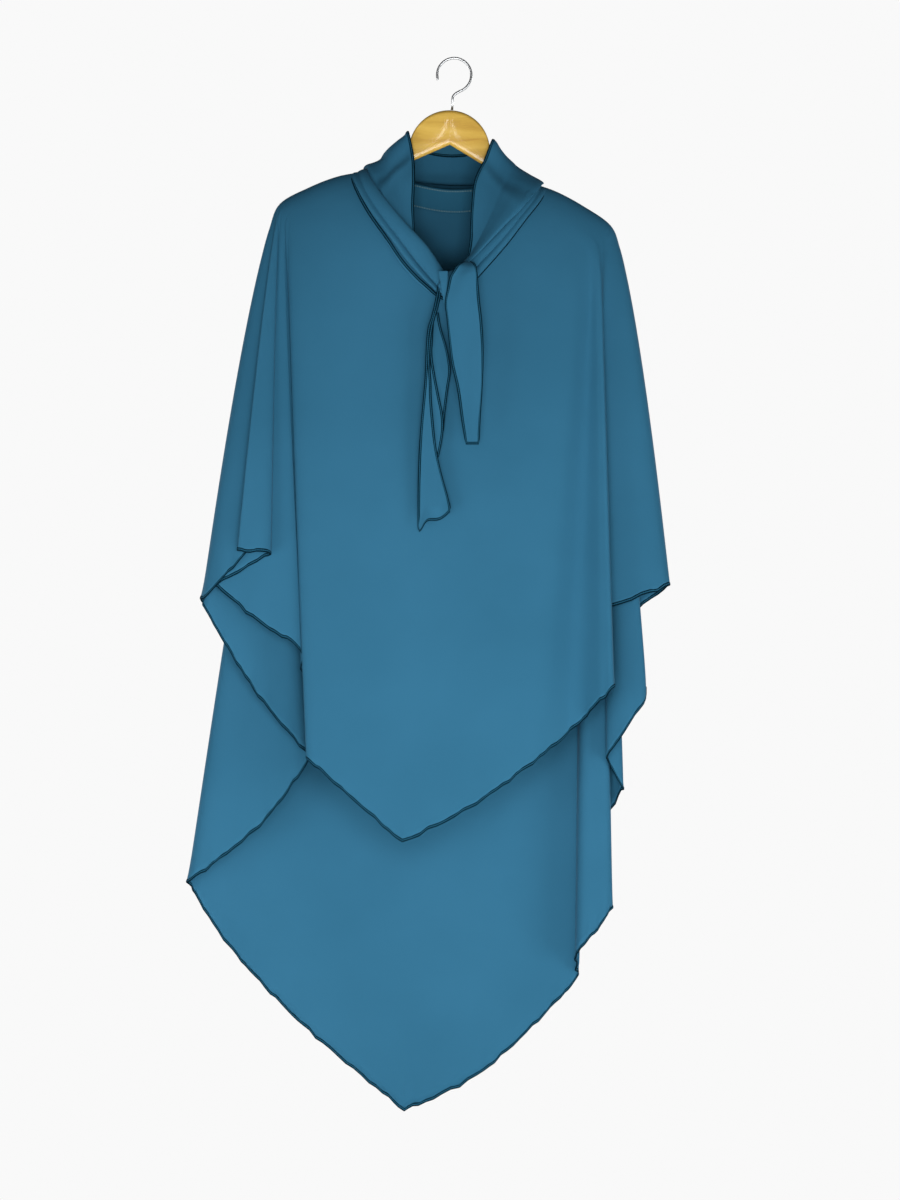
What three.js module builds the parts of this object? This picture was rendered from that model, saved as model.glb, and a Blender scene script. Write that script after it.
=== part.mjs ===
// A khimar veil that hangs on a wooden hanger: a pointed cape with its folds, a fallen hood, a band at the nape
// and a tie that is knotted at the front. Millimetres, +Z up, the front faces -Y, and the origin is the inside
// top of the hanger's hook.
import * as THREE from 'three';

// Cloth
const clothWall = 1.8;
const seamGap = 0.5;

// Hanger
const hangerHalfWidth = 218;
const hangerTilt = THREE.MathUtils.degToRad(3.7);
const shoulderBelowHook = 210;
const armSlope = 0.414;
const armThickness = 12;
const armEndHeight = 17;
const armBevel = 5;
const headRadius = 54;
const headBelowHook = 68;
const notchBelowHook = 114;
const kneeRise = 15;
const armKneeAcross = 100;
const armKneeFade = 2;
const armEndRounding = 0.7;
const armEndThinning = 0.3;
const bevelLimit = 0.4;
const bevelRound = 0.3;
const clothRide = 0.9;

// Hook
const wireRadius = 1.7;
const hookRadius = 21;
const hookNeckLength = 16;
const hookTipAngle = THREE.MathUtils.degToRad(200);
const hookBackAngle = THREE.MathUtils.degToRad(-62);

// Cape
const capeAcross = -11;
const sideLength = 501;
const frontLength = 832;
const backLength = 1193;
const sideReach = 345;
const hemDepth = 80;
const foldRoll = 40;
const yokeFrontDepth = 55;
const yokeBackDepth = 50;
const yokeFrontSag = 170;
const yokeBackSag = 118;
// Powers that shape the cape: how full the loops over the arms are, how pointed their sag is, how soon the folds
// come forwards, and how the cloth slackens away from the arms.
const loopFullness = 0.8;
const loopPoint = 0.75;
const foldsForward = 0.6;
const slackAwayFromArms = 1.5;
// The cape's bend over the shoulder line is smoothed: how often, over how many rows below it, and how strongly.
const bendPasses = 3;
const bendRows = 3;
const bendEase = 0.6;

// Neckline, hood and band
const neckHalfWidth = 106;
const neckFrontDepth = 62;
const neckBackDepth = 38;
const neckFrontDrop = 138;
const neckBackDrop = 22;
const faceAcross = -7;
const faceHalfWidth = 55;
const hoodRise = 207;
const hoodBulge = 8;
const bulgeLean = 0.6;
const pouchDepth = 52;
const pouchDrop = 150;
// Powers of the way round to the back: at the seam the pouch deepens soon after the shoulders, towards the rim
// it narrows, and it drops only farther round.
const pouchDeepens = 0.6;
const pouchNarrows = 1.4;
const pouchDrops = 2.2;
const seamStackSide = 2.2;
const seamStackFront = 6.4;
const bandHeight = 32;
const bandShare = 0.17;
const bandUnderSeam = 0.6;

// Tie, knot and tails
const tieWidth = 28;
const tieThickness = 7;
const tieUnderSeam = 0.64;
const tieOverSeam = 0.3;
const tieBulk = 0.45;
const tieClear = 0.8;
const knotAside = 14;
const knotOnTie = 0.73;
const knotSink = 0.08;
const knotWidth = 53;
const knotHeight = 44;
const knotDepth = 24;
const knotTurn = THREE.MathUtils.degToRad(-12);
const knotCrease = { depth: 0.08, across: 9, through: 5 };
const shortTailLength = 226;
const shortTailWidth = 48;
const longTailLength = 308;
const longTailSlant = 25;
const underLayerShort = 75;
const longTailWidth = 40;
const tailLayerGap = 1.6;
const tailWave = 0.06;
const shortTailStart = 0.42;
const longTailStart = 0.45;
const longTailForward = 0.05;

// One row for each fold of the cape, on each half from the middle of the front round to the middle of the back.
// girth: where the fold starts, as a share of the way round from the front. across: of sideReach.
// depth: of hemDepth, backwards. fall: of the way from sideLength to frontLength or, behind, to backLength.
// flare: how late it spreads. roll: of foldRoll, how far the cloth rolls over in the fold, above zero where it
// turns backwards and below zero where it turns forwards, null where it runs on unfolded.
const leftFront = [
  { name: 'front_point', girth: 0.0, across: -0.173, depth: -1.0, fall: 1.0, flare: 1.0, roll: 0 },
  { name: 'panel_edge', girth: 0.2, across: -0.541, depth: -0.9, fall: 0.661, flare: 1.2, roll: 1.12 },
  { name: 'inner_tuck', girth: 0.21, across: -0.409, depth: -0.725, fall: 0.48, flare: 1.5, roll: 1.05 },
  { name: 'pleat_back', girth: 0.225, across: -0.889, depth: -0.6, fall: -0.032, flare: 1.0, roll: -1.2 },
  { name: 'pleat_edge', girth: 0.235, across: -0.676, depth: -0.8, fall: -0.161, flare: 0.5, roll: -1.12 },
  { name: 'pleat_ridge', girth: 0.243, across: -0.796, depth: -1.08, fall: -0.185, flare: 0.8, roll: null },
];
const leftBack = [
  { name: 'side_edge', girth: 0.25, across: -0.943, depth: -0.56, fall: 0.0135, flare: 0.72, roll: 2.75 },
  { name: 'side_tuck', girth: 0.275, across: -0.525, depth: -0.15, fall: 0.316, flare: 1.3, roll: 1.25 },
  { name: 'wing_sag', girth: 0.3, across: -0.722, depth: 0.02, fall: 0.447, flare: 1.1, roll: null },
  { name: 'wing_edge', girth: 0.32, across: -1.001, depth: 0.28, fall: 0.557, flare: 0.9, roll: 2.0 },
  { name: 'back_left', girth: 0.37, across: -0.847, depth: 0.78, fall: 0.68, flare: 1.0, roll: null },
  { name: 'back_slope', girth: 0.44, across: -0.556, depth: 0.93, fall: 0.83, flare: 1.0, roll: null },
];
const rightFront = [
  { name: 'panel_slope', girth: 0.09, across: 0.089, depth: -1.0, fall: 0.859, flare: 1.0, roll: null },
  { name: 'panel_valley', girth: 0.175, across: 0.421, depth: -0.84, fall: 0.609, flare: 1.2, roll: null },
  { name: 'panel_edge', girth: 0.194, across: 0.642, depth: -0.875, fall: 0.375, flare: 1.0, roll: 1.0 },
  { name: 'inner_tuck', girth: 0.207, across: 0.525, depth: -0.7, fall: 0.097, flare: 1.5, roll: 1.0 },
];
const rightBack = [
  { name: 'side_edge', girth: 0.25, across: 0.858, depth: -0.31, fall: -0.0155, flare: 0.6, roll: 2.25 },
  { name: 'side_tuck', girth: 0.262, across: 0.688, depth: -0.12, fall: 0.048, flare: 1.2, roll: -0.8 },
  { name: 'flap_edge', girth: 0.27, across: 0.772, depth: -0.34, fall: 0.2, flare: 1.0, roll: -0.9 },
  { name: 'flap_back', girth: 0.279, across: 0.614, depth: -0.14, fall: 0.318, flare: 1.0, roll: 1.5 },
  { name: 'wing_edge', girth: 0.288, across: 0.681, depth: 0.16, fall: 0.378, flare: 1.0, roll: 0.95 },
  { name: 'wing_tuck', girth: 0.297, across: 0.553, depth: 0.48, fall: 0.48, flare: 1.2, roll: -0.9 },
  { name: 'back_edge', girth: 0.305, across: 0.638, depth: 0.13, fall: 0.607, flare: 1.0, roll: -0.95 },
  { name: 'back_ridge', girth: 0.32, across: 0.56, depth: 0.06, fall: 0.661, flare: 1.0, roll: null },
  { name: 'back_valley', girth: 0.345, across: 0.475, depth: 0.66, fall: 0.745, flare: 1.0, roll: null },
  { name: 'back_slope', girth: 0.42, across: 0.143, depth: 0.92, fall: 0.9, flare: 1.0, roll: null },
  { name: 'back_point', girth: 0.5, across: -0.166, depth: 1.0, fall: 1.0, flare: 1.0, roll: 0 },
];

// The rim of the face opening, from the knot round by the left. girth: as above. across: of faceHalfWidth.
// depth: of the neckline's depth on that side. rise: of hoodRise above the neckline's lowest point.
const rimTable = [
  { girth: 0.0, across: 0.05, depth: -0.95, rise: 0.064 },
  { girth: 0.035, across: -0.42, depth: -0.93, rise: 0.103 },
  { girth: 0.07, across: -0.78, depth: -0.87, rise: 0.206 },
  { girth: 0.12, across: -0.88, depth: -0.7, rise: 0.444 },
  { girth: 0.17, across: -0.86, depth: -0.5, rise: 0.67 },
  { girth: 0.22, across: -0.89, depth: -0.28, rise: 0.83 },
  { girth: 0.25, across: -1.0, depth: -0.1, rise: 0.973 },
  { girth: 0.28, across: -1.03, depth: 0.24, rise: 0.96 },
  { girth: 0.36, across: -0.75, depth: 0.72, rise: 0.945 },
  { girth: 0.5, across: 0.0, depth: 1.0, rise: 0.945 },
  { girth: 0.64, across: 0.75, depth: 0.72, rise: 0.92 },
  { girth: 0.72, across: 1.05, depth: 0.24, rise: 0.908 },
  { girth: 0.75, across: 1.02, depth: -0.1, rise: 0.924 },
  { girth: 0.78, across: 0.84, depth: -0.28, rise: 0.8 },
  { girth: 0.83, across: 0.6, depth: -0.5, rise: 0.657 },
  { girth: 0.88, across: 0.52, depth: -0.7, rise: 0.464 },
  { girth: 0.93, across: 0.48, depth: -0.87, rise: 0.251 },
  { girth: 0.965, across: 0.36, depth: -0.93, rise: 0.116 },
];

// The hood's way from the seam up to the rim. along: share of the straight way. side: of hoodBulge, outwards.
// back: of pouchDepth, outwards behind. drop: of pouchDrop, downwards behind.
const hoodTable = [
  { along: 0.0, side: 0, back: 0, drop: 0 },
  { along: 0.06, side: 0.1, back: 0.42, drop: -0.05 },
  { along: 0.18, side: 0.6, back: 0.57, drop: 0.4 },
  { along: 0.29, side: 0.9, back: 0.64, drop: 0.78 },
  { along: 0.39, side: 1.0, back: 0.72, drop: 0.98 },
  { along: 0.5, side: 0.9, back: 0.99, drop: 0.9 },
  { along: 0.64, side: 0.45, back: 1.03, drop: 0.56 },
  { along: 0.8, side: -0.3, back: 0.68, drop: 0.18 },
  { along: 0.92, side: -0.35, back: 0.3, drop: 0.0 },
  { along: 1.0, side: 0, back: 0, drop: 0 },
];

// The tie's rolled cross-section. across: of tieWidth. out: of tieThickness.
const tieSection = [
  { across: -0.5, out: 0.15 },
  { across: -0.3, out: 0.5 },
  { across: -0.14, out: 0.2 },
  { across: 0.06, out: 0.5 },
  { across: 0.22, out: 0.15 },
  { across: 0.4, out: 0.45 },
  { across: 0.5, out: 0.1 },
  { across: 0.4, out: -0.3 },
  { across: 0.0, out: -0.45 },
  { across: -0.4, out: -0.3 },
];

// The tails, from the knot down to the hem. down: of the tail's length. left and right: across, of the tail's
// width from the knot's middle. out: forwards, of the width. The long tail is folded along its left edge, so
// left is the fold, right is the edge of the front layer and under is the edge of the layer behind it.
const shortTailTable = [
  { down: 0.0, left: -0.25, right: 0.53, out: -0.1 },
  { down: 0.07, left: -0.28, right: 0.57, out: 0.0 },
  { down: 0.2, left: -0.33, right: 0.64, out: -0.04 },
  { down: 0.33, left: -0.28, right: 0.69, out: -0.08 },
  { down: 0.5, left: -0.19, right: 0.69, out: -0.12 },
  { down: 0.67, left: -0.03, right: 0.64, out: -0.16 },
  { down: 0.85, left: 0.08, right: 0.61, out: -0.2 },
  { down: 1.0, left: 0.19, right: 0.57, out: -0.22 },
];
const longTailTable = [
  { down: 0.0, left: -0.74, right: -0.57, under: -0.28, out: 0.0 },
  { down: 0.12, left: -0.96, right: -0.76, under: -0.26, out: 0.04 },
  { down: 0.28, left: -1.09, right: -0.9, under: -0.28, out: 0.02 },
  { down: 0.42, left: -1.18, right: -0.9, under: -0.33, out: 0.0 },
  { down: 0.58, left: -1.26, right: -0.86, under: -0.47, out: 0.02 },
  { down: 0.7, left: -1.31, right: -0.73, under: -0.66, out: 0.04 },
  { down: 0.86, left: -1.34, right: -0.48, under: -0.88, out: 0.04 },
  { down: 1.0, left: -1.3, right: -0.33, under: -1.08, out: 0.04 },
];

// How finely the cloth is divided
const foldSteps = [0, 0.13, 0.5, 0.87];
const wideSteps = [0, 0.08, 0.28, 0.5, 0.72, 0.92];
const yokeRows = [0, 0.34, 0.68];
const fallRows = [0, 0.06, 0.14, 0.24, 0.35, 0.46, 0.57, 0.68, 0.79, 0.9, 1];
const widePanel = 0.35;
const hoodColumns = 40;
const bandColumns = 12;
const tieStations = 44;
// Stations round the tie crowd together over the shoulders, where it turns sharply.
const tieCrowding = 0.045;
const tieReadAhead = 0.3;
const tailColumns = [0, 0.25, 0.5, 0.75, 1];
const tailFoldStart = 0.06;
const tailFoldTurn = 0.7;
const headShares = [0, 0.3, 0.55, 0.75, 0.9, 0.98, 1.02];
const armShares = [0.15, 0.45, 0.75];
const armEndShares = [0, 0.7, 1];
const hookRoundStations = 18;
const hookBendStations = 6;
const hookSides = 8;

const teal = { color: 0x2f6a87, roughness: 0.75, metalness: 0 };
const bandTeal = { color: 0x28607c, roughness: 0.75, metalness: 0 };
const wood = { color: 0xd7ab5a, roughness: 0.35, metalness: 0 };
const steel = { color: 0xb8bcc0, roughness: 0.3, metalness: 1 };

const mix = (a, b, t) => a + (b - a) * t;
const turn = (girth) => 2 * Math.PI * girth;

// A cubic from a to b with the slopes given at its ends.
function cubic(a, slopeA, b, slopeB, t) {
  const t2 = t * t;
  const t3 = t2 * t;
  const start = (2 * t3 - 3 * t2 + 1) * a + (t3 - 2 * t2 + t) * slopeA;
  return start + (3 * t2 - 2 * t3) * b + (t3 - t2) * slopeB;
}

// A smooth value from a table round the neck, read at a girth.
function aroundTable(table, key, girth) {
  const count = table.length;
  let k = count - 1;
  while (table[k].girth > girth) k -= 1;
  const at = (i) => {
    const laps = Math.floor(i / count);
    const row = table[i - laps * count];
    return { girth: row.girth + laps, value: row[key] };
  };
  const [p, a, b, n] = [at(k - 1), at(k), at(k + 1), at(k + 2)];
  const span = b.girth - a.girth;
  const slopeA = ((b.value - p.value) / (b.girth - p.girth)) * span;
  const slopeB = ((n.value - a.value) / (n.girth - a.girth)) * span;
  return cubic(a.value, slopeA, b.value, slopeB, (girth - a.girth) / span);
}

// The hanger's top edge outside its head, as a height below the hook.
function armTop(across) {
  return -shoulderBelowHook + (hangerHalfWidth - Math.abs(across)) * armSlope;
}

// A loop of cloth round the hanger's arms, in the part's frame: its ends lie on the arms, its front and back sag.
function shoulderLoop(girth, size) {
  const angle = turn(girth);
  const side = Math.abs(Math.sin(angle));
  const facing = Math.cos(angle);
  const deep = facing > 0 ? -size.frontDepth : size.backDepth;
  const drop = (facing > 0 ? size.frontDrop : size.backDrop) * (1 - side) ** loopPoint;
  const across = -size.halfWidth * Math.sin(angle);
  const height = armTop(size.halfWidth) + clothRide + seamGap + clothWall / 2;
  return new THREE.Vector3(
    across * Math.cos(hangerTilt) + height * Math.sin(hangerTilt),
    deep * Math.abs(facing) ** loopFullness,
    height * Math.cos(hangerTilt) - across * Math.sin(hangerTilt) - drop,
  );
}

const neckSize = {
  halfWidth: neckHalfWidth,
  frontDepth: neckFrontDepth,
  backDepth: neckBackDepth,
  frontDrop: neckFrontDrop,
  backDrop: neckBackDrop,
};
const yokeSize = {
  halfWidth: hangerHalfWidth + clothRide + seamGap + clothWall / 2,
  frontDepth: yokeFrontDepth,
  backDepth: yokeBackDepth,
  frontDrop: yokeFrontSag,
  backDrop: yokeBackSag,
};
const neckLoop = (girth) => shoulderLoop(girth, neckSize);
const yokeLoop = (girth) => shoulderLoop(girth, yokeSize);

// A wall of cloth: the grid of its middle surface, thickened to both sides. A ring closes on its first column.
function clothGeometry(grid, ring, wall = clothWall) {
  const columns = grid.length;
  const rows = grid[0].length;
  const column = (i) => (ring ? (i + columns) % columns : Math.min(Math.max(i, 0), columns - 1));
  const row = (j) => Math.min(Math.max(j, 0), rows - 1);
  const points = [];
  for (const side of [0.5, -0.5]) {
    for (let i = 0; i < columns; i += 1) {
      for (let j = 0; j < rows; j += 1) {
        const along = grid[column(i + 1)][j].clone().sub(grid[column(i - 1)][j]);
        const down = grid[i][row(j + 1)].clone().sub(grid[i][row(j - 1)]);
        const out = along.cross(down).normalize();
        points.push(grid[i][j].clone().addScaledVector(out, wall * side));
      }
    }
  }
  const at = (layer, i, j) => (layer * columns + column(i)) * rows + j;
  const quads = [];
  const spans = ring ? columns : columns - 1;
  for (let i = 0; i < spans; i += 1) {
    for (let j = 0; j < rows - 1; j += 1) {
      quads.push([at(0, i, j), at(0, i + 1, j), at(0, i + 1, j + 1), at(0, i, j + 1)]);
      quads.push([at(1, i, j + 1), at(1, i + 1, j + 1), at(1, i + 1, j), at(1, i, j)]);
    }
    quads.push([at(1, i, 0), at(1, i + 1, 0), at(0, i + 1, 0), at(0, i, 0)]);
    quads.push([at(0, i, rows - 1), at(0, i + 1, rows - 1), at(1, i + 1, rows - 1), at(1, i, rows - 1)]);
  }
  if (!ring) {
    for (let j = 0; j < rows - 1; j += 1) {
      quads.push([at(1, 0, j), at(0, 0, j), at(0, 0, j + 1), at(1, 0, j + 1)]);
      const last = columns - 1;
      quads.push([at(0, last, j), at(1, last, j), at(1, last, j + 1), at(0, last, j + 1)]);
    }
  }
  return solidGeometry(points, quads);
}

// A closed body from its points and faces, turned so that the faces point out.
function solidGeometry(points, faces) {
  const triangles = faces.flatMap((f) => (f.length === 3 ? [f] : [[f[0], f[1], f[2]], [f[0], f[2], f[3]]]));
  const volume = triangles.reduce((sum, [a, b, c]) => {
    return sum + points[a].dot(points[b].clone().cross(points[c]));
  }, 0);
  const index = triangles.flatMap(([a, b, c]) => (volume > 0 ? [a, b, c] : [a, c, b]));
  const geometry = new THREE.BufferGeometry();
  geometry.setAttribute('position', new THREE.Float32BufferAttribute(points.flatMap((p) => p.toArray()), 3));
  geometry.setIndex(index);
  geometry.computeVertexNormals();
  return geometry;
}

// A solid swept through rings of points. A loop closes on its first ring, and otherwise both ends are capped.
function sweptGeometry(rings, loop) {
  const sides = rings[0].length;
  const points = rings.flat();
  const at = (k, s) => (k % rings.length) * sides + (s % sides);
  const faces = [];
  const spans = loop ? rings.length : rings.length - 1;
  for (let k = 0; k < spans; k += 1) {
    for (let s = 0; s < sides; s += 1) {
      faces.push([at(k, s), at(k, s + 1), at(k + 1, s + 1), at(k + 1, s)]);
    }
  }
  if (!loop) {
    for (let s = 1; s < sides - 1; s += 1) {
      faces.push([at(0, 0), at(0, s + 1), at(0, s)]);
      faces.push([at(rings.length - 1, 0), at(rings.length - 1, s), at(rings.length - 1, s + 1)]);
    }
  }
  return solidGeometry(points, faces);
}

// Every fold of the cape in one ring, with its hem point and the way that the hem runs there.
function capeFolds() {
  const mirrored = (row) => ({ ...row, girth: 1 - row.girth, roll: row.roll === null ? null : -row.roll });
  const placed = (rows, longest) => rows.map((row) => ({ ...row, longest }));
  const left = [...placed(leftFront, frontLength), ...placed(leftBack, backLength)];
  const right = [...placed(rightFront, frontLength), ...placed(rightBack, backLength)];
  const folds = [...left, ...right.reverse().map(mirrored)];
  for (const fold of folds) {
    fold.hem = new THREE.Vector3(
      capeAcross + fold.across * sideReach,
      fold.depth * hemDepth,
      -shoulderBelowHook - mix(sideLength, fold.longest, fold.fall),
    );
  }
  folds.forEach((fold, k) => {
    const before = folds.at(k - 1).hem;
    const after = folds[(k + 1) % folds.length].hem;
    const runsOn = after.clone().sub(before).multiplyScalar(0.5);
    fold.slope = fold.roll === null ? runsOn : new THREE.Vector3(0, fold.roll * foldRoll, 0);
  });
  return folds;
}

// One line of the cape from the neckline over the yoke down to the hem.
function capeColumn(girth, hem, flare) {
  const neck = neckLoop(girth);
  const yoke = yokeLoop(girth);
  const top = yokeRows.map((t) => neck.clone().lerp(yoke, t));
  const rest = fallRows.map((t) => new THREE.Vector3(
    mix(yoke.x, hem.x, t ** flare),
    mix(yoke.y, hem.y, t ** foldsForward),
    mix(yoke.z, hem.z, t),
  ));
  const column = [...top, ...rest];
  const slack = Math.abs(Math.cos(turn(girth))) ** slackAwayFromArms;
  for (let pass = 0; pass < bendPasses; pass += 1) {
    for (let j = 1; j <= yokeRows.length + bendRows; j += 1) {
      const between = column[j - 1].clone().lerp(column[j + 1], 0.5);
      column[j].lerp(between, bendEase * slack);
    }
  }
  return column;
}

// All lines of the cape, fold after fold, with more of them where the cloth between two folds is wide.
function capeGrid() {
  const folds = capeFolds();
  const grid = [];
  folds.forEach((fold, k) => {
    const next = folds[(k + 1) % folds.length];
    const girthEnd = next.girth > fold.girth ? next.girth : next.girth + 1;
    const wide = Math.abs(next.hem.x - fold.hem.x) > sideReach * widePanel;
    for (const t of wide ? wideSteps : foldSteps) {
      const along = (axis) => cubic(fold.hem[axis], fold.slope[axis], next.hem[axis], next.slope[axis], t);
      const hem = new THREE.Vector3(along('x'), along('y'), along('z'));
      grid.push(capeColumn(mix(fold.girth, girthEnd, t) % 1, hem, mix(fold.flare, next.flare, t)));
    }
  });
  return grid;
}

// The rim of the face opening at a girth.
function rimPoint(girth) {
  const lowest = neckLoop(0).z;
  const depth = aroundTable(rimTable, 'depth', girth);
  return new THREE.Vector3(
    faceAcross + aroundTable(rimTable, 'across', girth) * faceHalfWidth,
    depth * (depth < 0 ? neckFrontDepth : neckBackDepth),
    lowest + aroundTable(rimTable, 'rise', girth) * hoodRise,
  );
}

// The hood's lines from the neck seam out over the shoulders, or down and up again behind, to the rim.
function hoodGrid() {
  const grid = [];
  for (let i = 0; i < hoodColumns; i += 1) {
    const girth = i / hoodColumns;
    const angle = turn(girth);
    const out = new THREE.Vector3(-Math.sin(angle), -Math.cos(angle), 0);
    const side = Math.abs(Math.sin(angle)) ** 2;
    const behind = Math.max(0, -Math.cos(angle));
    const rim = rimPoint(girth);
    const seam = neckLoop(girth);
    seam.z += seamGap + clothWall * mix(seamStackSide, seamStackFront, Math.max(0, Math.cos(angle)));
    grid.push(hoodTable.map((row) => {
      const point = seam.clone().lerp(rim, row.along);
      const bulge = row.side * side * hoodBulge;
      point.addScaledVector(out, bulge * bulgeLean + row.back * behind ** mix(pouchDeepens, pouchNarrows, row.along) * pouchDepth);
      point.z += bulge - row.drop * behind ** pouchDrops * pouchDrop;
      return point;
    }));
  }
  return grid;
}

// The band inside the nape: it covers the seam between hood and cape.
function bandGrid() {
  const inward = clothWall + seamGap;
  return Array.from({ length: bandColumns + 1 }, (_, i) => {
    const girth = 0.5 - bandShare / 2 + (bandShare * i) / bandColumns;
    const low = neckLoop(girth).add(new THREE.Vector3(0, -inward, -bandHeight * bandUnderSeam));
    const high = low.clone().setZ(low.z + bandHeight);
    return [low, low.clone().lerp(high, 0.5), high];
  });
}

// The tie lies on the cape just under the neckline, as a strip rolled along its length.
function tieRings() {
  const standOff = clothWall / 2 + tieClear + tieThickness * tieBulk;
  const step = tieReadAhead / tieStations;
  return Array.from({ length: tieStations }, (_, i) => {
    const girth = i / tieStations + tieCrowding * Math.sin(2 * turn(i / tieStations));
    const seam = neckLoop(girth);
    const ahead = neckLoop((girth + step) % 1).sub(neckLoop((girth + 1 - step) % 1)).normalize();
    const out = ahead.clone().cross(yokeLoop(girth).sub(seam)).normalize();
    const down = out.clone().cross(ahead).normalize();
    const lower = mix(tieUnderSeam, tieOverSeam, Math.max(0, Math.cos(turn(girth))) ** 2);
    const centre = seam.addScaledVector(down, lower * tieWidth).addScaledVector(out, standOff);
    return tieSection.map((row) => centre.clone()
      .addScaledVector(down, row.across * tieWidth)
      .addScaledVector(out, row.out * tieThickness));
  });
}

const knotCentre = neckLoop(0).add(new THREE.Vector3(
  knotAside,
  -(clothWall / 2 + tieClear + tieThickness * knotOnTie + knotDepth / 2),
  -knotHeight * knotSink,
));

// The knot is a wrapped wad: a sphere drawn out to its three sizes, with the creases of the wrapping.
function knotGeometry() {
  const sphere = new THREE.SphereGeometry(0.5, 16, 10);
  const place = sphere.getAttribute('position');
  for (let i = 0; i < place.count; i += 1) {
    const p = new THREE.Vector3().fromBufferAttribute(place, i);
    const crease = 1 - knotCrease.depth * Math.cos(knotCrease.across * p.x + knotCrease.through * p.y) ** 2;
    place.setXYZ(i, p.x * knotWidth * crease, -p.z * knotDepth * crease, p.y * knotHeight * crease);
  }
  sphere.rotateY(knotTurn);
  return sphere;
}

// The short tail comes over the top of the knot and falls in front of it.
function shortTailGrid() {
  const front = knotCentre.y - knotDepth / 2 - seamGap - clothWall;
  const top = knotCentre.z + knotHeight * shortTailStart;
  return tailColumns.map((u) => shortTailTable.map((row) => new THREE.Vector3(
    knotCentre.x + mix(row.left, row.right, u) * shortTailWidth,
    front - (row.out + tailWave * Math.cos(turn(u)) * row.down) * shortTailWidth,
    top - row.down * shortTailLength,
  )));
}

// The long tail leaves the knot below it at the left, folded along its left edge.
function longTailGrid() {
  const front = knotCentre.y + knotDepth * longTailForward;
  const top = knotCentre.z - knotHeight * longTailStart;
  const layer = clothWall + tailLayerGap;
  const line = (key, back, u, shorter) => longTailTable.map((row) => new THREE.Vector3(
    knotCentre.x + mix(row.left, row[key], u) * longTailWidth,
    front - row.out * longTailWidth + back * layer,
    top - row.down * (longTailLength - shorter * u),
  ));
  return [
    line('right', -1, 1, longTailSlant),
    line('right', -1, 0.5, longTailSlant),
    line('right', -tailFoldTurn, tailFoldStart, longTailSlant),
    line('under', tailFoldTurn, tailFoldStart, underLayerShort),
    line('under', 1, 0.5, underLayerShort),
    line('under', 1, 1, underLayerShort),
  ];
}

// The hanger's upper edge: the arch of the head, and outside it an arm that straightens at its knee.
function boardTop(across) {
  const x = Math.abs(across);
  const knee = Math.max(0, (armKneeAcross - x) / (armKneeAcross - headRadius));
  const arm = armTop(x) + kneeRise * Math.min(1, knee) ** armKneeFade;
  const arch = Math.sqrt(Math.max(0, headRadius ** 2 - x ** 2)) - headBelowHook - headRadius;
  return x < headRadius ? Math.max(arm, arch) : arm;
}

// The hanger's lower edge: straight from the notch under the head to the arm's end.
function boardBottom(across) {
  const end = armTop(hangerHalfWidth) - armEndHeight;
  return mix(-notchBelowHook, end, Math.abs(across) / hangerHalfWidth);
}

// The wooden hanger: a board with rounded edges, in sections from its left end to its right end.
function hangerGeometry() {
  const round = armEndHeight / 2;
  const half = [
    ...headShares.map((share) => share * headRadius),
    ...armShares.map((share) => mix(headRadius, armKneeAcross, share)),
    armKneeAcross,
    (armKneeAcross + hangerHalfWidth) / 2,
    ...armEndShares.map((share) => hangerHalfWidth - round * (1 - share)),
  ];
  const stations = [...half.slice(1).reverse().map((x) => -x), ...half];
  const rings = stations.map((x) => {
    const past = Math.max(0, (Math.abs(x) - hangerHalfWidth + round) / round);
    const pinch = round * (1 - Math.sqrt(1 - past ** 2)) * armEndRounding;
    const high = boardTop(x) - pinch;
    const low = boardBottom(x) + pinch;
    const side = armThickness / 2 - pinch * armEndThinning;
    const bevel = Math.min(armBevel, (high - low) * bevelLimit, side);
    const corner = bevel * bevelRound;
    const upper = [[side, high - bevel], [side - corner, high - corner], [side - bevel, high]];
    const lower = [[side - bevel, low], [side - corner, low + corner], [side, low + bevel]];
    const right = [...lower, ...upper];
    const left = [...right].reverse().map(([y, z]) => [-y, z]);
    return [...right, ...left].map(([y, z]) => new THREE.Vector3(x, y, z));
  });
  return sweptGeometry(rings, false);
}

// The wire hook: an open round hook whose inside top is the origin, and a straight neck down to the wood.
function hookGeometry() {
  const bend = hookRadius + wireRadius;
  const centre = new THREE.Vector3(0, 0, wireRadius - bend);
  const foot = -headBelowHook + seamGap;
  const path = [];
  for (let k = 0; k <= hookRoundStations; k += 1) {
    const angle = mix(hookTipAngle, hookBackAngle, k / hookRoundStations);
    path.push(new THREE.Vector3(bend * Math.cos(angle), 0, centre.z + bend * Math.sin(angle)));
  }
  const roundEnd = path.at(-1);
  const neckTop = foot + hookNeckLength;
  const bendDown = new THREE.QuadraticBezierCurve3(
    roundEnd,
    new THREE.Vector3(0, 0, mix(roundEnd.z, neckTop, 0.5)),
    new THREE.Vector3(0, 0, neckTop),
  );
  path.push(...bendDown.getPoints(hookBendStations).slice(1));
  path.push(new THREE.Vector3(0, 0, foot));
  const rings = path.map((point, k) => {
    const ahead = path[Math.min(k + 1, path.length - 1)].clone().sub(path[Math.max(k - 1, 0)]).normalize();
    const side = new THREE.Vector3(0, 1, 0);
    const out = side.clone().cross(ahead);
    return Array.from({ length: hookSides }, (_, s) => point.clone()
      .addScaledVector(side, wireRadius * Math.cos(turn(s / hookSides)))
      .addScaledVector(out, wireRadius * Math.sin(turn(s / hookSides))));
  });
  return sweptGeometry(rings, false);
}

function piece(name, geometry, finish) {
  const mesh = new THREE.Mesh(geometry, new THREE.MeshStandardMaterial(finish));
  mesh.name = name;
  return mesh;
}

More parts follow.
